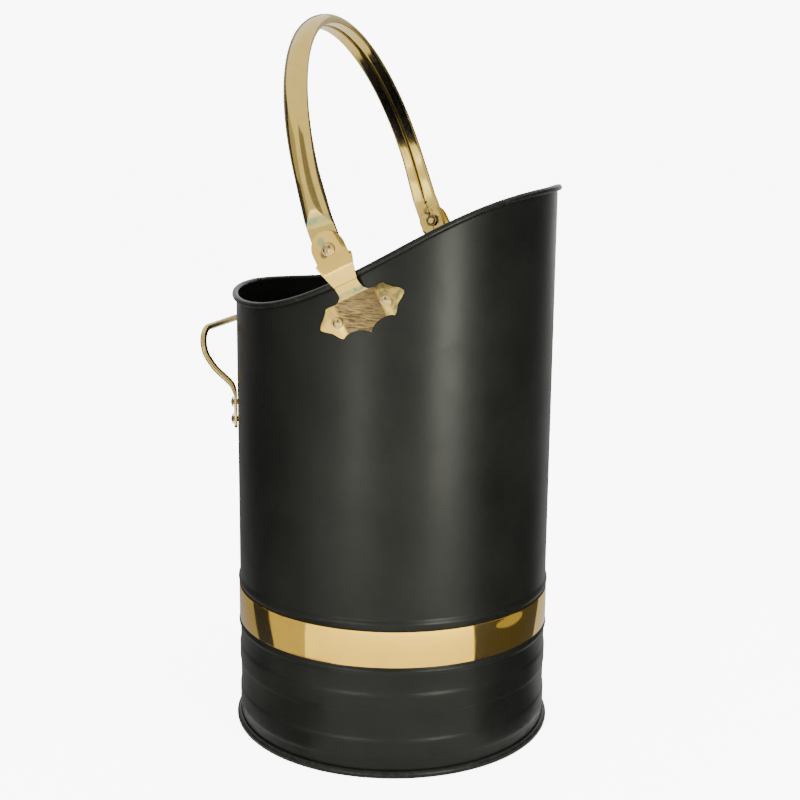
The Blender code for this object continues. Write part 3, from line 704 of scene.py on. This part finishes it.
def head_profile(radius, height, base):
    """A low domed head with a soft step round it, from its top to the underside of its rim."""
    dome = radius * HEAD_RING_SHARE
    rim = height * (1 - HEAD_RING_SHARE) * 2
    sphere = (dome * dome + (height - rim) ** 2) / (2 * (height - rim))
    spread = degrees(asin(dome / sphere))
    points = arc((0, base + height - sphere), sphere, 90, 90 - spread, DOME_STEPS)
    points[0] = (0, points[0][1])
    ease = rim / 2
    points += arc((radius - ease, base + rim - ease), ease, 90, 0, EASE_STEPS)
    return points + [(radius, base)]


def rivet_profile(seat):
    tail = BODY_RADIUS - SHEET - GAP
    ease = RIVET_TAIL_HEIGHT / 2
    end = (RIVET_TAIL_RADIUS - ease, tail - RIVET_TAIL_HEIGHT + ease)
    profile = head_profile(*RIVET_HEAD, seat)
    profile += [(RIVET_RADIUS, seat), (RIVET_RADIUS, tail), (RIVET_TAIL_RADIUS, tail)]
    profile += arc(end, ease, 0, -90, EASE_STEPS)
    return profile + [(0, tail - RIVET_TAIL_HEIGHT)]


def build_rivet(node, angle, height, seat, material):
    matrix = facing(Vector((0, 0, height)), round_point(angle, 1))
    rivet = turn_piece(f"{node}_turned", rivet_profile(seat), matrix)
    settle(rivet, node, material)


def build_ear_rivets(label, side, material):
    seat = EAR_WALL_INSIDE + EAR_SHEET + GAP
    for word, across in (("low", -EAR_RIVET_HALF), ("tall", EAR_RIVET_HALF)):
        along, height = ear_place(across, 0)
        angle = side * (pi / 2 - along / BODY_RADIUS)
        build_rivet(f"ear_rivet_{label}_{word}", angle, height, seat, material)


def cut_away(piece, matrix):
    """Cuts a piece with the shape that was just added, once the matrix has put it in place."""
    cutter = bpy.context.object
    cutter.data.transform(matrix)
    select_only(piece)
    apply_modifier(piece, "BOOLEAN", operation="DIFFERENCE", object=cutter)
    bpy.data.objects.remove(cutter)


def drill(piece, matrix, depth):
    """Cuts the screw's hole along +Z of the matrix, half of its depth to each side."""
    bpy.ops.mesh.primitive_cylinder_add(vertices=TURNED_STEPS, radius=SCREW_RADIUS + GAP, depth=depth)
    cut_away(piece, matrix)


def build_screw(label, side, material):
    """A domed screw through the eye, with a cross recess, its point just past the nut."""
    matrix = facing(PIVOT, Vector((0, side, 0)))
    profile = head_profile(SCREW_HEAD_RADIUS, SCREW_HEAD_HEIGHT, SCREW_SEAT)
    profile += [
        (SCREW_RADIUS, SCREW_SEAT), (SCREW_RADIUS, SCREW_TIP + SCREW_POINT / 3),
        (SCREW_RADIUS - SCREW_POINT / 3, SCREW_TIP), (0, SCREW_TIP),
    ]
    screw = turn_piece(f"screw_{label}", profile, matrix)
    top = SCREW_SEAT + SCREW_HEAD_HEIGHT
    for quarter in range(2):
        bpy.ops.mesh.primitive_cube_add(size=1)
        size = Matrix.Diagonal((RECESS_LENGTH, RECESS_WIDTH, 2 * RECESS_DEPTH, 1))
        turn = Matrix.Rotation(RECESS_TURN + quarter * pi / 2, 4, "Z")
        cut_away(screw, matrix @ Matrix.Translation((0, 0, top)) @ turn @ size)
    settle(screw, f"pivot_screw_{label}", material)


def build_nut(label, side, material):
    """A six-sided nut with its corners turned off, on the inner face of the bail's end."""
    matrix = facing(PIVOT, Vector((0, side, 0)))
    corner = NUT_HALF_FLATS / cos(pi / 6)
    bottom = NUT_SEAT - NUT_HEIGHT
    rings = []
    for inset, height in ((NUT_CHAMFER, bottom), (0, bottom + NUT_CHAMFER / 2), (0, NUT_SEAT)):
        rings.append([matrix @ round_point(i * pi / 3, corner - inset, height) for i in range(6)])
    nut = draw_rings(f"nut_{label}", rings, fill_ends=True)
    drill(nut, matrix @ Matrix.Translation((0, 0, NUT_SEAT)), 4 * NUT_HEIGHT)
    ease_edges(nut, NUT_CHAMFER / 4, segments=2)
    settle(nut, f"pivot_nut_{label}", material)


def share_below(reach, low, high):
    """1 at the low reach and nearer, running down to 0 at the high reach and beyond."""
    return clamp((high - reach) / (high - low))


def sheet_line(reach, inset):
    """One face of the bail's sheet from lip to lip, as points outward from the bow and across it.

    The tube is flat inside the bow and crowned outside it. Near its end the press cuts the crown
    away, so its face has a crease round it, and the inside sinks in gently.
    """
    pressed = share_below(reach, *PRESS_REACHES) ** PRESS_POWER
    widened = share_below(reach, *WIDEN_REACHES)
    end_low = END_MIDDLE - END_DEPTH / 2 - BAIL_SPREAD
    sunk = share_below(reach, *SINK_REACHES)
    low = mix(-BAIL_DEPTH / 2, end_low, sunk * sunk * (3 - 2 * sunk)) + inset
    high = mix(BAIL_DEPTH / 2, end_low + END_DEPTH, pressed * pressed) - inset
    half = mix(BAIL_WIDTH, END_WIDTH, widened) / 2 - inset
    corner = mix(BAIL_CORNER, END_ROUNDING, pressed) - inset
    crown = BAIL_DEPTH / 2 - inset - low - corner
    seam = BAIL_SEAM / 2 + inset
    curl = max(MERGE, LIP_ROUNDING * (1 - pressed) - inset)
    line = [(low - inset + mix(BAIL_LIP, END_LIP, pressed), seam)]
    line += arc((low + curl, seam + curl), curl, 270, 180, EASE_STEPS)
    line += [(low, mix(seam + curl, half - corner, i / INSIDE_STEPS)) for i in range(1, INSIDE_STEPS)]
    line += arc((low + corner, half - corner), corner, 180, 90, CORNER_STEPS)
    top = asin(min(1, (high - low - corner) / crown))
    for i in range(1, CROWN_STEPS + 1):
        turn = top * i / CROWN_STEPS
        line.append((low + corner + crown * sin(turn), half * cos(turn)))
    edge = line[-1][1]
    line += [(high, edge * (1 - i / FACE_STEPS)) for i in range(1, FACE_STEPS + 1)]
    return line + [(out, -across) for out, across in line[-2::-1]]


def bail_section(reach):
    """Closed outline of the rolled sheet, its outer face and then back along its inner face."""
    return sheet_line(reach, 0) + sheet_line(reach, BAIL_SHEET)[::-1]


def bail_stations():
    """(place across, height over the pivot, outward direction, reach, narrowing) of each ring."""
    leg = []
    for i in range(CORNER_STEPS + 1):
        turn = pi / 2 * i / CORNER_STEPS
        leg.append((-END_TAIL + END_CORNER * (1 - cos(turn)), END_CORNER * (1 - sin(turn))))
    start = leg[-1][0]
    leg += [(mix(start, BAIL_LEG, i / LEG_STEPS), 0) for i in range(1, LEG_STEPS)]
    stations = [(-BAIL_SPREAD, height, (-1, 0), height, narrow) for height, narrow in leg]
    for i in range(BOW_STEPS + 1):
        turn = pi * i / BOW_STEPS
        out = (-cos(turn), sin(turn))
        reach = BAIL_LEG + BAIL_SPREAD * min(turn, pi - turn)
        stations.append((BAIL_SPREAD * out[0], BAIL_LEG + BAIL_SPREAD * out[1], out, reach, 0))
    stations += [(BAIL_SPREAD, height, (1, 0), height, narrow) for height, narrow in leg[::-1]]
    return stations


def build_bail(material):
    """The bail's rolled tube, drawn upright about the pivot and then leaned to the low side."""
    lean = Matrix.Translation(PIVOT) @ Matrix.Rotation(-BAIL_LEAN, 4, "Y")
    rings = []
    for across, height, out, reach, narrow in bail_stations():
        squeeze = 1 - 2 * narrow / END_WIDTH
        aside = mix(BAIL_ASIDE, END_ASIDE, share_below(reach, *ASIDE_REACHES))
        ring = []
        for outward, sideways in bail_section(reach):
            x = sideways * squeeze - aside
            point = Vector((x, across + outward * out[0], height + outward * out[1]))
            ring.append(lean @ point)
        rings.append(ring)
    bail = draw_rings("bail_tube", rings, fill_ends=True)
    drill(bail, facing(PIVOT, Vector((0, 1, 0))), 3 * BAIL_SPREAD)
    settle(bail, "bail", material, body="bail", angle=BAIL_SMOOTH_ANGLE)


def rod_section(flat, narrow):
    """Outline of the rod: round (0), or flattened to the foot's plate (1)."""
    half_thick = mix(ROD_RADIUS, FOOT_THICK / 2, flat)
    half_width = mix(ROD_RADIUS, FOOT_WIDTH / 2, flat) * narrow
    power = 1 - FOOT_SQUARE_SHARE * flat
    points = []
    for i in range(ROD_SIDES):
        turn = 2 * pi * (i + 0.5) / ROD_SIDES
        out, across = cos(turn), sin(turn)
        points.append((
            half_thick * copysign(abs(out) ** power, out),
            half_width * copysign(abs(across) ** power, across),
        ))
    return points


def handle_half():
    """(point, flattening, narrowing) of the front leg, from the tip of its foot to the middle of the bar."""
    foot_angle = pi + asin(HANDLE_HALF_SPAN / BODY_RADIUS)
    foot = round_point(foot_angle, BODY_RADIUS + GAP + FOOT_THICK / 2)
    bar_x = -BODY_RADIUS - HANDLE_STANDOFF
    corner_height = HANDLE_BAR_HEIGHT - HANDLE_CORNER
    path = []
    tip = FOOT_WIDTH / 2
    for i in range(FOOT_TIP_STEPS):
        turn = pi / 2 * (i + 1) / FOOT_TIP_STEPS
        height = FOOT_BOTTOM + tip * (1 - cos(turn))
        path.append((Vector((foot.x, foot.y, height)), 1, sin(turn)))
    knots = [(foot.x, FOOT_TOP, 1)]
    for out, up, flat in LEG_SHARES:
        knots.append((mix(foot.x, bar_x, out), mix(FOOT_TOP, corner_height, up), flat))
    for x, height, flat in smooth_stroke(knots)[:-1]:
        path.append((Vector((x, foot.y, height)), clamp(flat), 1))
    centre = (HANDLE_CORNER - HANDLE_HALF_SPAN, corner_height)
    for y, z in arc(centre, HANDLE_CORNER, 180, 90, HANDLE_CORNER_STEPS):
        path.append((Vector((bar_x, y, z)), 0, 1))
    return path


def build_handle(material):
    """The tipping handle: one rod bent to a U, its feet flattened against the wall."""
    half = handle_half()
    path = half + [(Vector((p.x, -p.y, p.z)), flat, narrow) for p, flat, narrow in half[::-1]]
    rings = []
    for i, (point, flat, narrow) in enumerate(path):
        before, after = path[max(i - 1, 0)][0], path[min(i + 1, len(path) - 1)][0]
        tangent = (after - before).normalized()
        lean = asin(point.y / BODY_RADIUS)
        outward = Vector((-cos(lean), sin(lean), 0))
        across = tangent.cross(outward).normalized()
        outward = across.cross(tangent)
        rings.append([point + outward * a + across * b for a, b in rod_section(flat, narrow)])
    handle = draw_rings("tipping_handle_rod", rings, fill_ends=True)
    settle(handle, "tipping_handle", material, angle=HANDLE_SMOOTH_ANGLE)


def build_handle_rivets(material):
    seat = BODY_RADIUS + FOOT_THICK + 2 * GAP
    heights = {"lower": FOOT_BOTTOM + FOOT_LOWER_RIVET_EDGE, "upper": FOOT_TOP - FOOT_UPPER_RIVET_EDGE}
    for label, side in SIDES:
        angle = pi - side * asin(HANDLE_HALF_SPAN / BODY_RADIUS)
        for word, height in heights.items():
            build_rivet(f"handle_rivet_{label}_{word}", angle, height, seat, material)


def new_material(name):
    material = bpy.data.materials.new(name)
    material.use_nodes = True
    return material, material.node_tree, material.node_tree.nodes["Principled BSDF"]


def fill_socket(socket, value):
    """Gives a socket its value: a number, a vector, a colour, or what another node puts out."""
    if isinstance(value, bpy.types.NodeSocket):
        socket.id_data.links.new(value, socket)
    else:
        socket.default_value = value


def set_inputs(node, **inputs):
    """Fills some inputs of a node by their names, with _ for each space."""
    for name, value in inputs.items():
        fill_socket(node.inputs[name.replace("_", " ")], value)
    return node


def add_node(tree, kind, **inputs):
    return set_inputs(tree.nodes.new(f"ShaderNode{kind}"), **inputs)


def join(node, *values):
    """Fills the inputs of a node in their order, and gives its outputs."""
    for socket, value in zip(node.inputs, values):
        fill_socket(socket, value)
    return node.outputs


def effect_group(name, inputs, outputs):
    """An empty shader group, its inputs and outputs given by name. Scale counts marks per metre."""
    tree = bpy.data.node_groups.new(name, "ShaderNodeTree")
    for way, labels in (("INPUT", inputs), ("OUTPUT", outputs)):
        for label in labels:
            tree.interface.new_socket(label, in_out=way, socket_type="NodeSocketFloat")
    return tree, tree.nodes.new("NodeGroupInput").outputs, tree.nodes.new("NodeGroupOutput")


def use_group(tree, group, **inputs):
    node = add_node(tree, "Group")
    node.node_tree = group
    return set_inputs(node, **inputs).outputs


def ramp(tree, source, low, high):
    """The source between two values, stretched to run from 0 to 1."""
    node = add_node(tree, "MapRange", Value=source, From_Min=low, From_Max=high)
    return node.outputs["Result"]


def operate(tree, kind, operation, first, second):
    node = add_node(tree, kind)
    node.operation = operation
    return join(node, first, second)


def maths(tree, operation, first, *others):
    """Sockets and numbers joined by one operation, taken in turn."""
    for value in others:
        first = operate(tree, "Math", operation, first, value)["Value"]
    return first


def times(tree, *factors):
    return maths(tree, "MULTIPLY", *factors)


def blend_colours(tree, mask, *colours):
    """A colour that runs from the first to the second by a mask. Either may be a socket."""
    node = add_node(tree, "Mix")
    node.data_type = "RGBA"
    first, second = [(*colour, 1) if isinstance(colour, tuple) else colour for colour in colours]
    return set_inputs(node, Factor=mask, A=first, B=second).outputs["Result"]


def object_place(tree):
    return add_node(tree, "TexCoord").outputs["Object"]


def noise(tree, **settings):
    """Cloudy noise through the piece, between 0 and 1."""
    settings.setdefault("Vector", object_place(tree))
    return add_node(tree, "TexNoise", **settings).outputs["Fac"]


def make_grain_group():
    """Fine unevenness of a sprayed or cast skin, and slow patches over the whole surface."""
    tree, given, result = effect_group("skin_grain", ("Scale",), ("Height", "Patches"))
    fine = noise(tree, Scale=given["Scale"], Detail=3, Roughness=0.6)
    slow = noise(tree, Scale=16, Detail=4, Roughness=0.55)
    set_inputs(result, Height=fine, Patches=ramp(tree, slow, *PATCH_RANGE))
    return tree


def make_scratch_group():
    """Hairlines left by the polishing wheel: they run level and vary quickly up and down."""
    tree, given, result = effect_group("wheel_scratches", ("Scale", "Length"), ("Lines", "Streaks"))
    split = add_node(tree, "SeparateXYZ", Vector=object_place(tree)).outputs
    x, y = [times(tree, split[axis], given["Length"]) for axis in "XY"]
    squashed = add_node(tree, "CombineXYZ", X=x, Y=y, Z=split["Z"]).outputs["Vector"]
    scale = given["Scale"]
    fine = noise(tree, Vector=squashed, Scale=scale, Detail=2, Roughness=0.7, Distortion=0.3)
    set_inputs(result, Lines=ramp(tree, fine, *LINE_RANGE), Streaks=fine)
    return tree


def make_smudge_group():
    """Cloudy marks of handling, with a few specks."""
    tree, given, result = effect_group("handling_smudges", ("Scale",), ("Marks", "Specks"))
    cloud = noise(tree, Scale=given["Scale"], Detail=5, Roughness=0.6, Distortion=0.8)
    speck = add_node(tree, "TexVoronoi", Vector=object_place(tree), Scale=420)
    specks = ramp(tree, speck.outputs["Distance"], *SPECK_RANGE)
    set_inputs(result, Marks=ramp(tree, cloud, *MARK_RANGE), Specks=specks)
    return tree


def rubbed_edges(tree):
    """A mask of where the wall stands proud of its radius: on the beads and on the rolled rim."""
    flat = operate(tree, "VectorMath", "MULTIPLY", object_place(tree), (1, 1, 0))["Vector"]
    reach = operate(tree, "VectorMath", "LENGTH", flat, (0, 0, 0))["Value"]
    proud = ramp(tree, maths(tree, "SUBTRACT", reach, BODY_RADIUS), *RUB_REACHES)
    broken = noise(tree, Scale=240, Detail=6, Roughness=0.7)
    return times(tree, proud, ramp(tree, broken, *RUB_RANGE))


def bump(tree, shader, height, distance, **before):
    """Raises the surface by a height. The bump that comes before it is given as Normal."""
    node = add_node(tree, "Bump", Height=height, Distance=distance, **before)
    set_inputs(shader, Normal=node.outputs["Normal"])
    return node.outputs["Normal"]


def make_paint():
    """Satin black paint: a faint peel in the skin, slow dusty patches, and rubbed beads and rim."""
    material, tree, shader = new_material("satin_black_paint")
    grain = use_group(tree, GRAIN, Scale=850)
    smudge = use_group(tree, SMUDGE, Scale=22)
    rub = rubbed_edges(tree)
    colour = blend_colours(tree, grain["Patches"], PAINT_DEEP, PAINT_DUSTY)
    colour = blend_colours(tree, rub, colour, PAINT_RUBBED)
    rough = times(tree, smudge["Marks"], PAINT_ROUGH_SPREAD)
    rough = maths(tree, "ADD", rough, PAINT_ROUGH)
    rough = maths(tree, "SUBTRACT", rough, times(tree, rub, PAINT_RUB_SHINE))
    set_inputs(shader, Base_Color=colour, Roughness=rough)
    set_inputs(shader, Specular_IOR_Level=PAINT_GLOSS, Specular_Tint=PAINT_SHEEN)
    bump(tree, shader, grain["Height"], PAINT_PEEL)
    return material


def along_axis(tree, origin, direction):
    """Distance of a place from the origin along a direction, in metres."""
    shift = operate(tree, "VectorMath", "SUBTRACT", object_place(tree), origin)["Vector"]
    return operate(tree, "VectorMath", "DOT_PRODUCT", shift, direction)["Value"]


def leaning_axes(tree, origin, lean):
    """Distances across and up from the origin, with the way up leaning to the low side."""
    run, rise = cos(lean), sin(lean)
    return along_axis(tree, origin, (run, 0, rise)), along_axis(tree, origin, (-rise, 0, run))


def window(tree, source, low, high, soft):
    """1 between two values of the source and 0 outside them, with soft sides."""
    rising = ramp(tree, source, low - soft, low + soft)
    falling = ramp(tree, source, high + soft, high - soft)
    return times(tree, rising, falling)


def spot(tree, across, up, centre, radius):
    """A soft round mask about a centre."""
    sides = [maths(tree, "SUBTRACT", *pair) for pair in ((across, centre[0]), (up, centre[1]))]
    square = maths(tree, "ADD", *[times(tree, side, side) for side in sides])
    reach = maths(tree, "SQRT", square, 0)
    return ramp(tree, reach, radius * (1 + SPOT_EDGE), radius * (1 - SPOT_EDGE))


def mottled(tree, mask, least):
    """A mask that is stronger in some places than in others."""
    marks = use_group(tree, SMUDGE, Scale=160)["Marks"]
    return times(tree, mask, maths(tree, "ADD", marks, least))


def add_bail_painted_light(tree, colour, _streaks):
    """The bail: a painted teal reflection across its front end, and painted brown shade round its back nut.
    """
    across, up = leaning_axes(tree, PIVOT, BAIL_LEAN)
    front, back = [
        ramp(tree, along_axis(tree, PIVOT, (0, way, 0)), *BAIL_SIDE_REACHES) for way in (-1, 1)
    ]
    # a painted teal reflection across the pressed end of the front leg
    teal_reflection = mottled(tree, window(tree, up, *BAIL_TEAL_REFLECTION, BAIL_TEAL_EDGE), BAIL_TEAL_LEAST)
    colour = blend_colours(tree, times(tree, teal_reflection, front), colour, REFLECTED_TEAL)
    # painted shade round the back nut
    aside, above, radius = BAIL_NUT_SHADE
    clumps = ramp(tree, use_group(tree, SMUDGE, Scale=210)["Marks"], *NUT_SHADE_RANGE)
    nut_shade = times(tree, spot(tree, across, up, (aside, above), radius), back, clumps)
    return blend_colours(tree, nut_shade, colour, PAINTED_BROWN), 0


def add_ear_painted_light(tree, colour, streaks):
    """The ears: a painted brown, streaky reflection between the rivets, dull at one side, a painted teal
    reflection at the bend and another above left of the screw, and painted shade in a crease and below left
    of the screw.
    """
    along, height = ear_place(0, 0)
    across, up = leaning_axes(tree, (along, 0, height), EAR_TILT)
    # the patch between the rivets is a painted reflection of the surroundings
    patch = times(
        tree,
        window(tree, across, *EAR_PATCH_ACROSS, EAR_PATCH_SIDE_EDGE),
        window(tree, up, -EAR_FOOT_DROP, EAR_PATCH_TOP, EAR_REFLECTION_EDGE),
    )
    brown = blend_colours(tree, ramp(tree, streaks, *EAR_STREAK_RANGE), PAINTED_BROWN, EAR_STREAK)
    brown = blend_colours(tree, ramp(tree, across, *EAR_DARKENING), brown, PAINTED_BROWN)
    dull = times(tree, ramp(tree, across, *EAR_DULL_ACROSS), ramp(tree, up, *EAR_DULL_UP))
    bend = EAR_BENDS[0][0]
    # a painted teal reflection just above the lowest bend
    teal_reflection = window(tree, up, *[bend + rise for rise in EAR_BEND_TEAL_REFLECTION], EAR_REFLECTION_EDGE)
    # a painted shade line in the crease
    crease = window(tree, up, *[bend + rise for rise in EAR_CREASE], EAR_CREASE_EDGE)
    layers = [
        (mottled(tree, dull, EAR_MOTTLE_LEAST), EAR_DULL), (patch, brown),
        (mottled(tree, teal_reflection, EAR_MOTTLE_LEAST), REFLECTED_TEAL), (crease, SHADE_UMBER),
    ]
    # a painted shadow and a painted reflection by the screw
    for aside, above, radius, tint in EAR_PAINTED_SPOTS:
        layers.append((spot(tree, across, up, (aside, EAR_REACH + above), radius), tint))
    for mask, tint in layers:
        colour = blend_colours(tree, mask, colour, tint)
    return colour, patch


def make_brass(name, add_painted_light=None):
    """Lacquered brass: darker where it was handled, with hairlines and the waves of thin sheet. For the bail
    and the ears, painted reflections and painted shade are laid over its colour.
    """
    material, tree, shader = new_material(name)
    clean, handled, rough, lines, length, marks, waves, wave_depth = BRASSES[name]
    scratch = use_group(tree, SCRATCH, Scale=lines, Length=length)
    smudge = use_group(tree, SMUDGE, Scale=marks)
    colour = blend_colours(tree, smudge["Marks"], clean, handled)
    colour = blend_colours(tree, smudge["Specks"], colour, BRASS_SPECK)
    # the ears' patch is a painted reflection; its mask also makes the brass rougher and thins the lacquer
    colour, reflection_patch = add_painted_light(tree, colour, scratch["Streaks"]) if add_painted_light else (colour, 0)
    masks = ((smudge["Marks"], MARK_ROUGH), (scratch["Lines"], LINE_ROUGH), (reflection_patch, PATCH_ROUGH))
    marks_rough, lines_rough, worn_rough = [times(tree, *pair) for pair in masks]
    rough = maths(tree, "ADD", marks_rough, rough, lines_rough, worn_rough)
    coat = maths(tree, "SUBTRACT", LACQUER, times(tree, reflection_patch, LACQUER_LOSS))
    set_inputs(shader, Base_Color=colour, Metallic=1, Roughness=rough)
    set_inputs(shader, Coat_Weight=coat, Coat_Roughness=LACQUER_ROUGH)
    wave = noise(tree, Scale=waves, Detail=1, Roughness=0.4)
    waved = bump(tree, shader, wave, wave_depth)
    bump(tree, shader, scratch["Streaks"], HAIRLINE_DEPTH, Normal=waved)
    return material


def make_steel():
    """Drawn steel wire, seen only where the rolled rim is open."""
    material, tree, shader = new_material("drawn_wire")
    grain = use_group(tree, GRAIN, Scale=2400)
    colour = blend_colours(tree, grain["Patches"], WIRE_BRIGHT, WIRE_DULL)
    rough = times(tree, grain["Height"], WIRE_ROUGH_SPREAD)
    rough = maths(tree, "ADD", rough, WIRE_ROUGH)
    set_inputs(shader, Base_Color=colour, Metallic=1, Roughness=rough)
    bump(tree, shader, grain["Height"], WIRE_GRAIN)
    return material


def studio_place(turn, reach, height):
    """A place in the studio by its turn, its distance from the middle and its height."""
    return round_point(CAMERA_TURN - pi / 2 + radians(turn), reach, height)


def add_card(name, points, colour, brightness):
    """A flat sheet that shows in reflections only."""
    bpy.ops.mesh.primitive_circle_add(vertices=len(points), radius=1, fill_type="NGON")
    finish_card(name, points, colour, brightness)


def finish_card(name, points, colour, brightness):
    """Makes a card of the shape that was just added: puts its points in place and lets it glow."""
    card = bpy.context.object
    card.name = name
    for vert, point in zip(card.data.vertices, points):
        vert.co = point
    material, tree, _ = new_material(name)
    tree.nodes.clear()
    glow = add_node(tree, "Emission", Color=(*colour, 1), Strength=brightness)
    add_node(tree, "OutputMaterial", Surface=glow.outputs["Emission"])
    card.data.materials.append(material)
    for kind in ("camera", "diffuse", "shadow", "transmission", "volume_scatter"):
        setattr(card, f"visible_{kind}", False)


def add_folded_card(name, low_turns, high_turns, colour, brightness):
    """A card on the floor that rises at its far end. Each side is given by its turns, near and far."""
    near, far = [], []
    for turn, far_turn in (low_turns, high_turns):
        start = studio_place(turn / 2, BODY_RADIUS, CARD_HEIGHT)
        near.append(start + studio_place(turn, CARD_NEAR, 0))
        far.append(start + studio_place(far_turn, CARD_FAR, 0))
    rise = Vector((0, 0, CARD_RISE))
    add_card(f"{name}_on_floor", (near[0], near[1], far[1], far[0]), colour, brightness)
    add_card(f"{name}_upright", (far[0], far[1], far[1] + rise, far[0] + rise), colour, brightness)


def add_bent_card(name, turns, reaches, heights, brightness):
    """A card bent round the middle of the studio: upright, or lying on the floor."""
    bpy.ops.mesh.primitive_grid_add(x_subdivisions=12, y_subdivisions=1, size=1)
    points = []
    for vert in bpy.context.object.data.vertices:
        along, up = vert.co.x + 0.5, vert.co.y + 0.5
        points.append(studio_place(mix(*turns, along), mix(*reaches, up), mix(*heights, up)))
    finish_card(name, points, CARD_TINT, brightness)


def build_floor():
    """A pale floor that also glows, but only as the camera sees it."""
    deselect_everything()
    bpy.ops.mesh.primitive_circle_add(vertices=96, radius=FLOOR_RADIUS, fill_type="NGON")
    floor = bpy.context.object
    floor.name = "studio_floor"
    material, tree, shader = new_material("pale_floor")
    set_inputs(shader, Base_Color=FLOOR_COLOUR, Roughness=FLOOR_ROUGH, Specular_IOR_Level=FLOOR_GLOSS)
    glow = add_node(tree, "Emission", Strength=FLOOR_GLOW).outputs["Emission"]
    plain = shader.outputs["BSDF"]
    glowing = join(add_node(tree, "AddShader"), plain, glow)["Shader"]
    seen = add_node(tree, "LightPath").outputs["Is Camera Ray"]
    choice = join(add_node(tree, "MixShader"), seen, plain, glowing)["Shader"]
    set_inputs(tree.nodes["Material Output"], Surface=choice)
    floor.data.materials.append(material)


def build_cards():
    """The cards, the pale disc and the shades that the brass and the paint mirror."""
    for card in CARDS:
        add_folded_card(*card)
    centre = studio_place(*DISC_PLACE)
    disc = [centre + studio_place(i * 360 / DISC_SIDES, DISC_RADIUS, 0) for i in range(DISC_SIDES)]
    add_card("pale_disc", disc, DISC_TINT, DISC_BRIGHTNESS)
    for card in BENT_CARDS:
        add_bent_card(*card)


def add_softbox(name, turn, reach, height, width, tall, power):
    """A soft lamp that faces the middle of the hod."""
    data = bpy.data.lights.new(name, "AREA")
    data.shape = "RECTANGLE"
    data.size = width
    data.size_y = tall
    data.energy = power
    lamp = bpy.data.objects.new(name, data)
    bpy.context.scene.collection.objects.link(lamp)
    lamp.location = studio_place(turn, reach, height)
    aim = Vector((0, 0, SOFTBOX_AIM)) - lamp.location
    lamp.rotation_euler = aim.to_track_quat("-Z", "Y").to_euler()
    return lamp


def light_scene():
    """A white room, softboxes for all, and three whose gleam only the paint takes."""
    world = bpy.data.worlds.new("studio")
    bpy.context.scene.world = world
    world.use_nodes = True
    tree = world.node_tree
    seen = add_node(tree, "LightPath").outputs["Is Camera Ray"]
    shine = add_node(tree, "MapRange", Value=seen, To_Min=WORLD_LIGHT, To_Max=WORLD_SEEN)
    set_inputs(tree.nodes["Background"], Color=(1, 1, 1, 1), Strength=shine.outputs["Result"])
    painted = bpy.data.collections.new("painted_pieces")
    for piece in bpy.context.scene.objects:
        if piece.type == "MESH" and paint.name in piece.data.materials:
            painted.objects.link(piece)
    for softbox in SOFTBOXES:
        add_softbox(*softbox).visible_glossy = False
    for softbox in PAINT_SOFTBOXES:
        lamp = add_softbox(*softbox)
        lamp.visible_diffuse = False
        lamp.light_linking.receiver_collection = painted


def place_camera():
    data = bpy.data.cameras.new("photo_camera")
    camera = bpy.data.objects.new("photo_camera", data)
    bpy.context.scene.collection.objects.link(camera)
    data.sensor_width = CAMERA_SENSOR
    data.lens = CAMERA_LENS
    data.clip_start = CAMERA_NEAREST
    place = Matrix.Translation((0, -CAMERA_DISTANCE, CAMERA_HEIGHT))
    look = Matrix.Rotation(-CAMERA_YAW, 4, "Z") @ Matrix.Rotation(pi / 2 - CAMERA_PITCH, 4, "X")
    roll = Matrix.Rotation(-CAMERA_ROLL, 4, "Z")
    camera.matrix_world = Matrix.Rotation(CAMERA_TURN, 4, "Z") @ place @ look @ roll
    bpy.context.scene.camera = camera


GRAIN = make_grain_group()
SCRATCH = make_scratch_group()
SMUDGE = make_smudge_group()
paint = make_paint()
bail_brass = make_brass("bail_brass", add_bail_painted_light)
ear_brass = make_brass("ear_brass", add_ear_painted_light)
fastener_brass = make_brass("fastener_brass")
aged_brass = make_brass("aged_brass")
wire_steel = make_steel()

build_body(paint)
build_base(paint)
build_band(make_brass("band_brass"))
for label, side in SIDES:
    build_ear(label, side, ear_brass)
    build_ear_rivets(label, side, fastener_brass)
    build_screw(label, side, fastener_brass)
    build_nut(label, side, aged_brass)
build_bail(bail_brass)
build_handle(make_brass("rod_brass"))
build_handle_rivets(aged_brass)
for rim_slot in bpy.data.objects["rim_wire"].material_slots:
    rim_slot.material = wire_steel
build_floor()
build_cards()
light_scene()
place_camera()
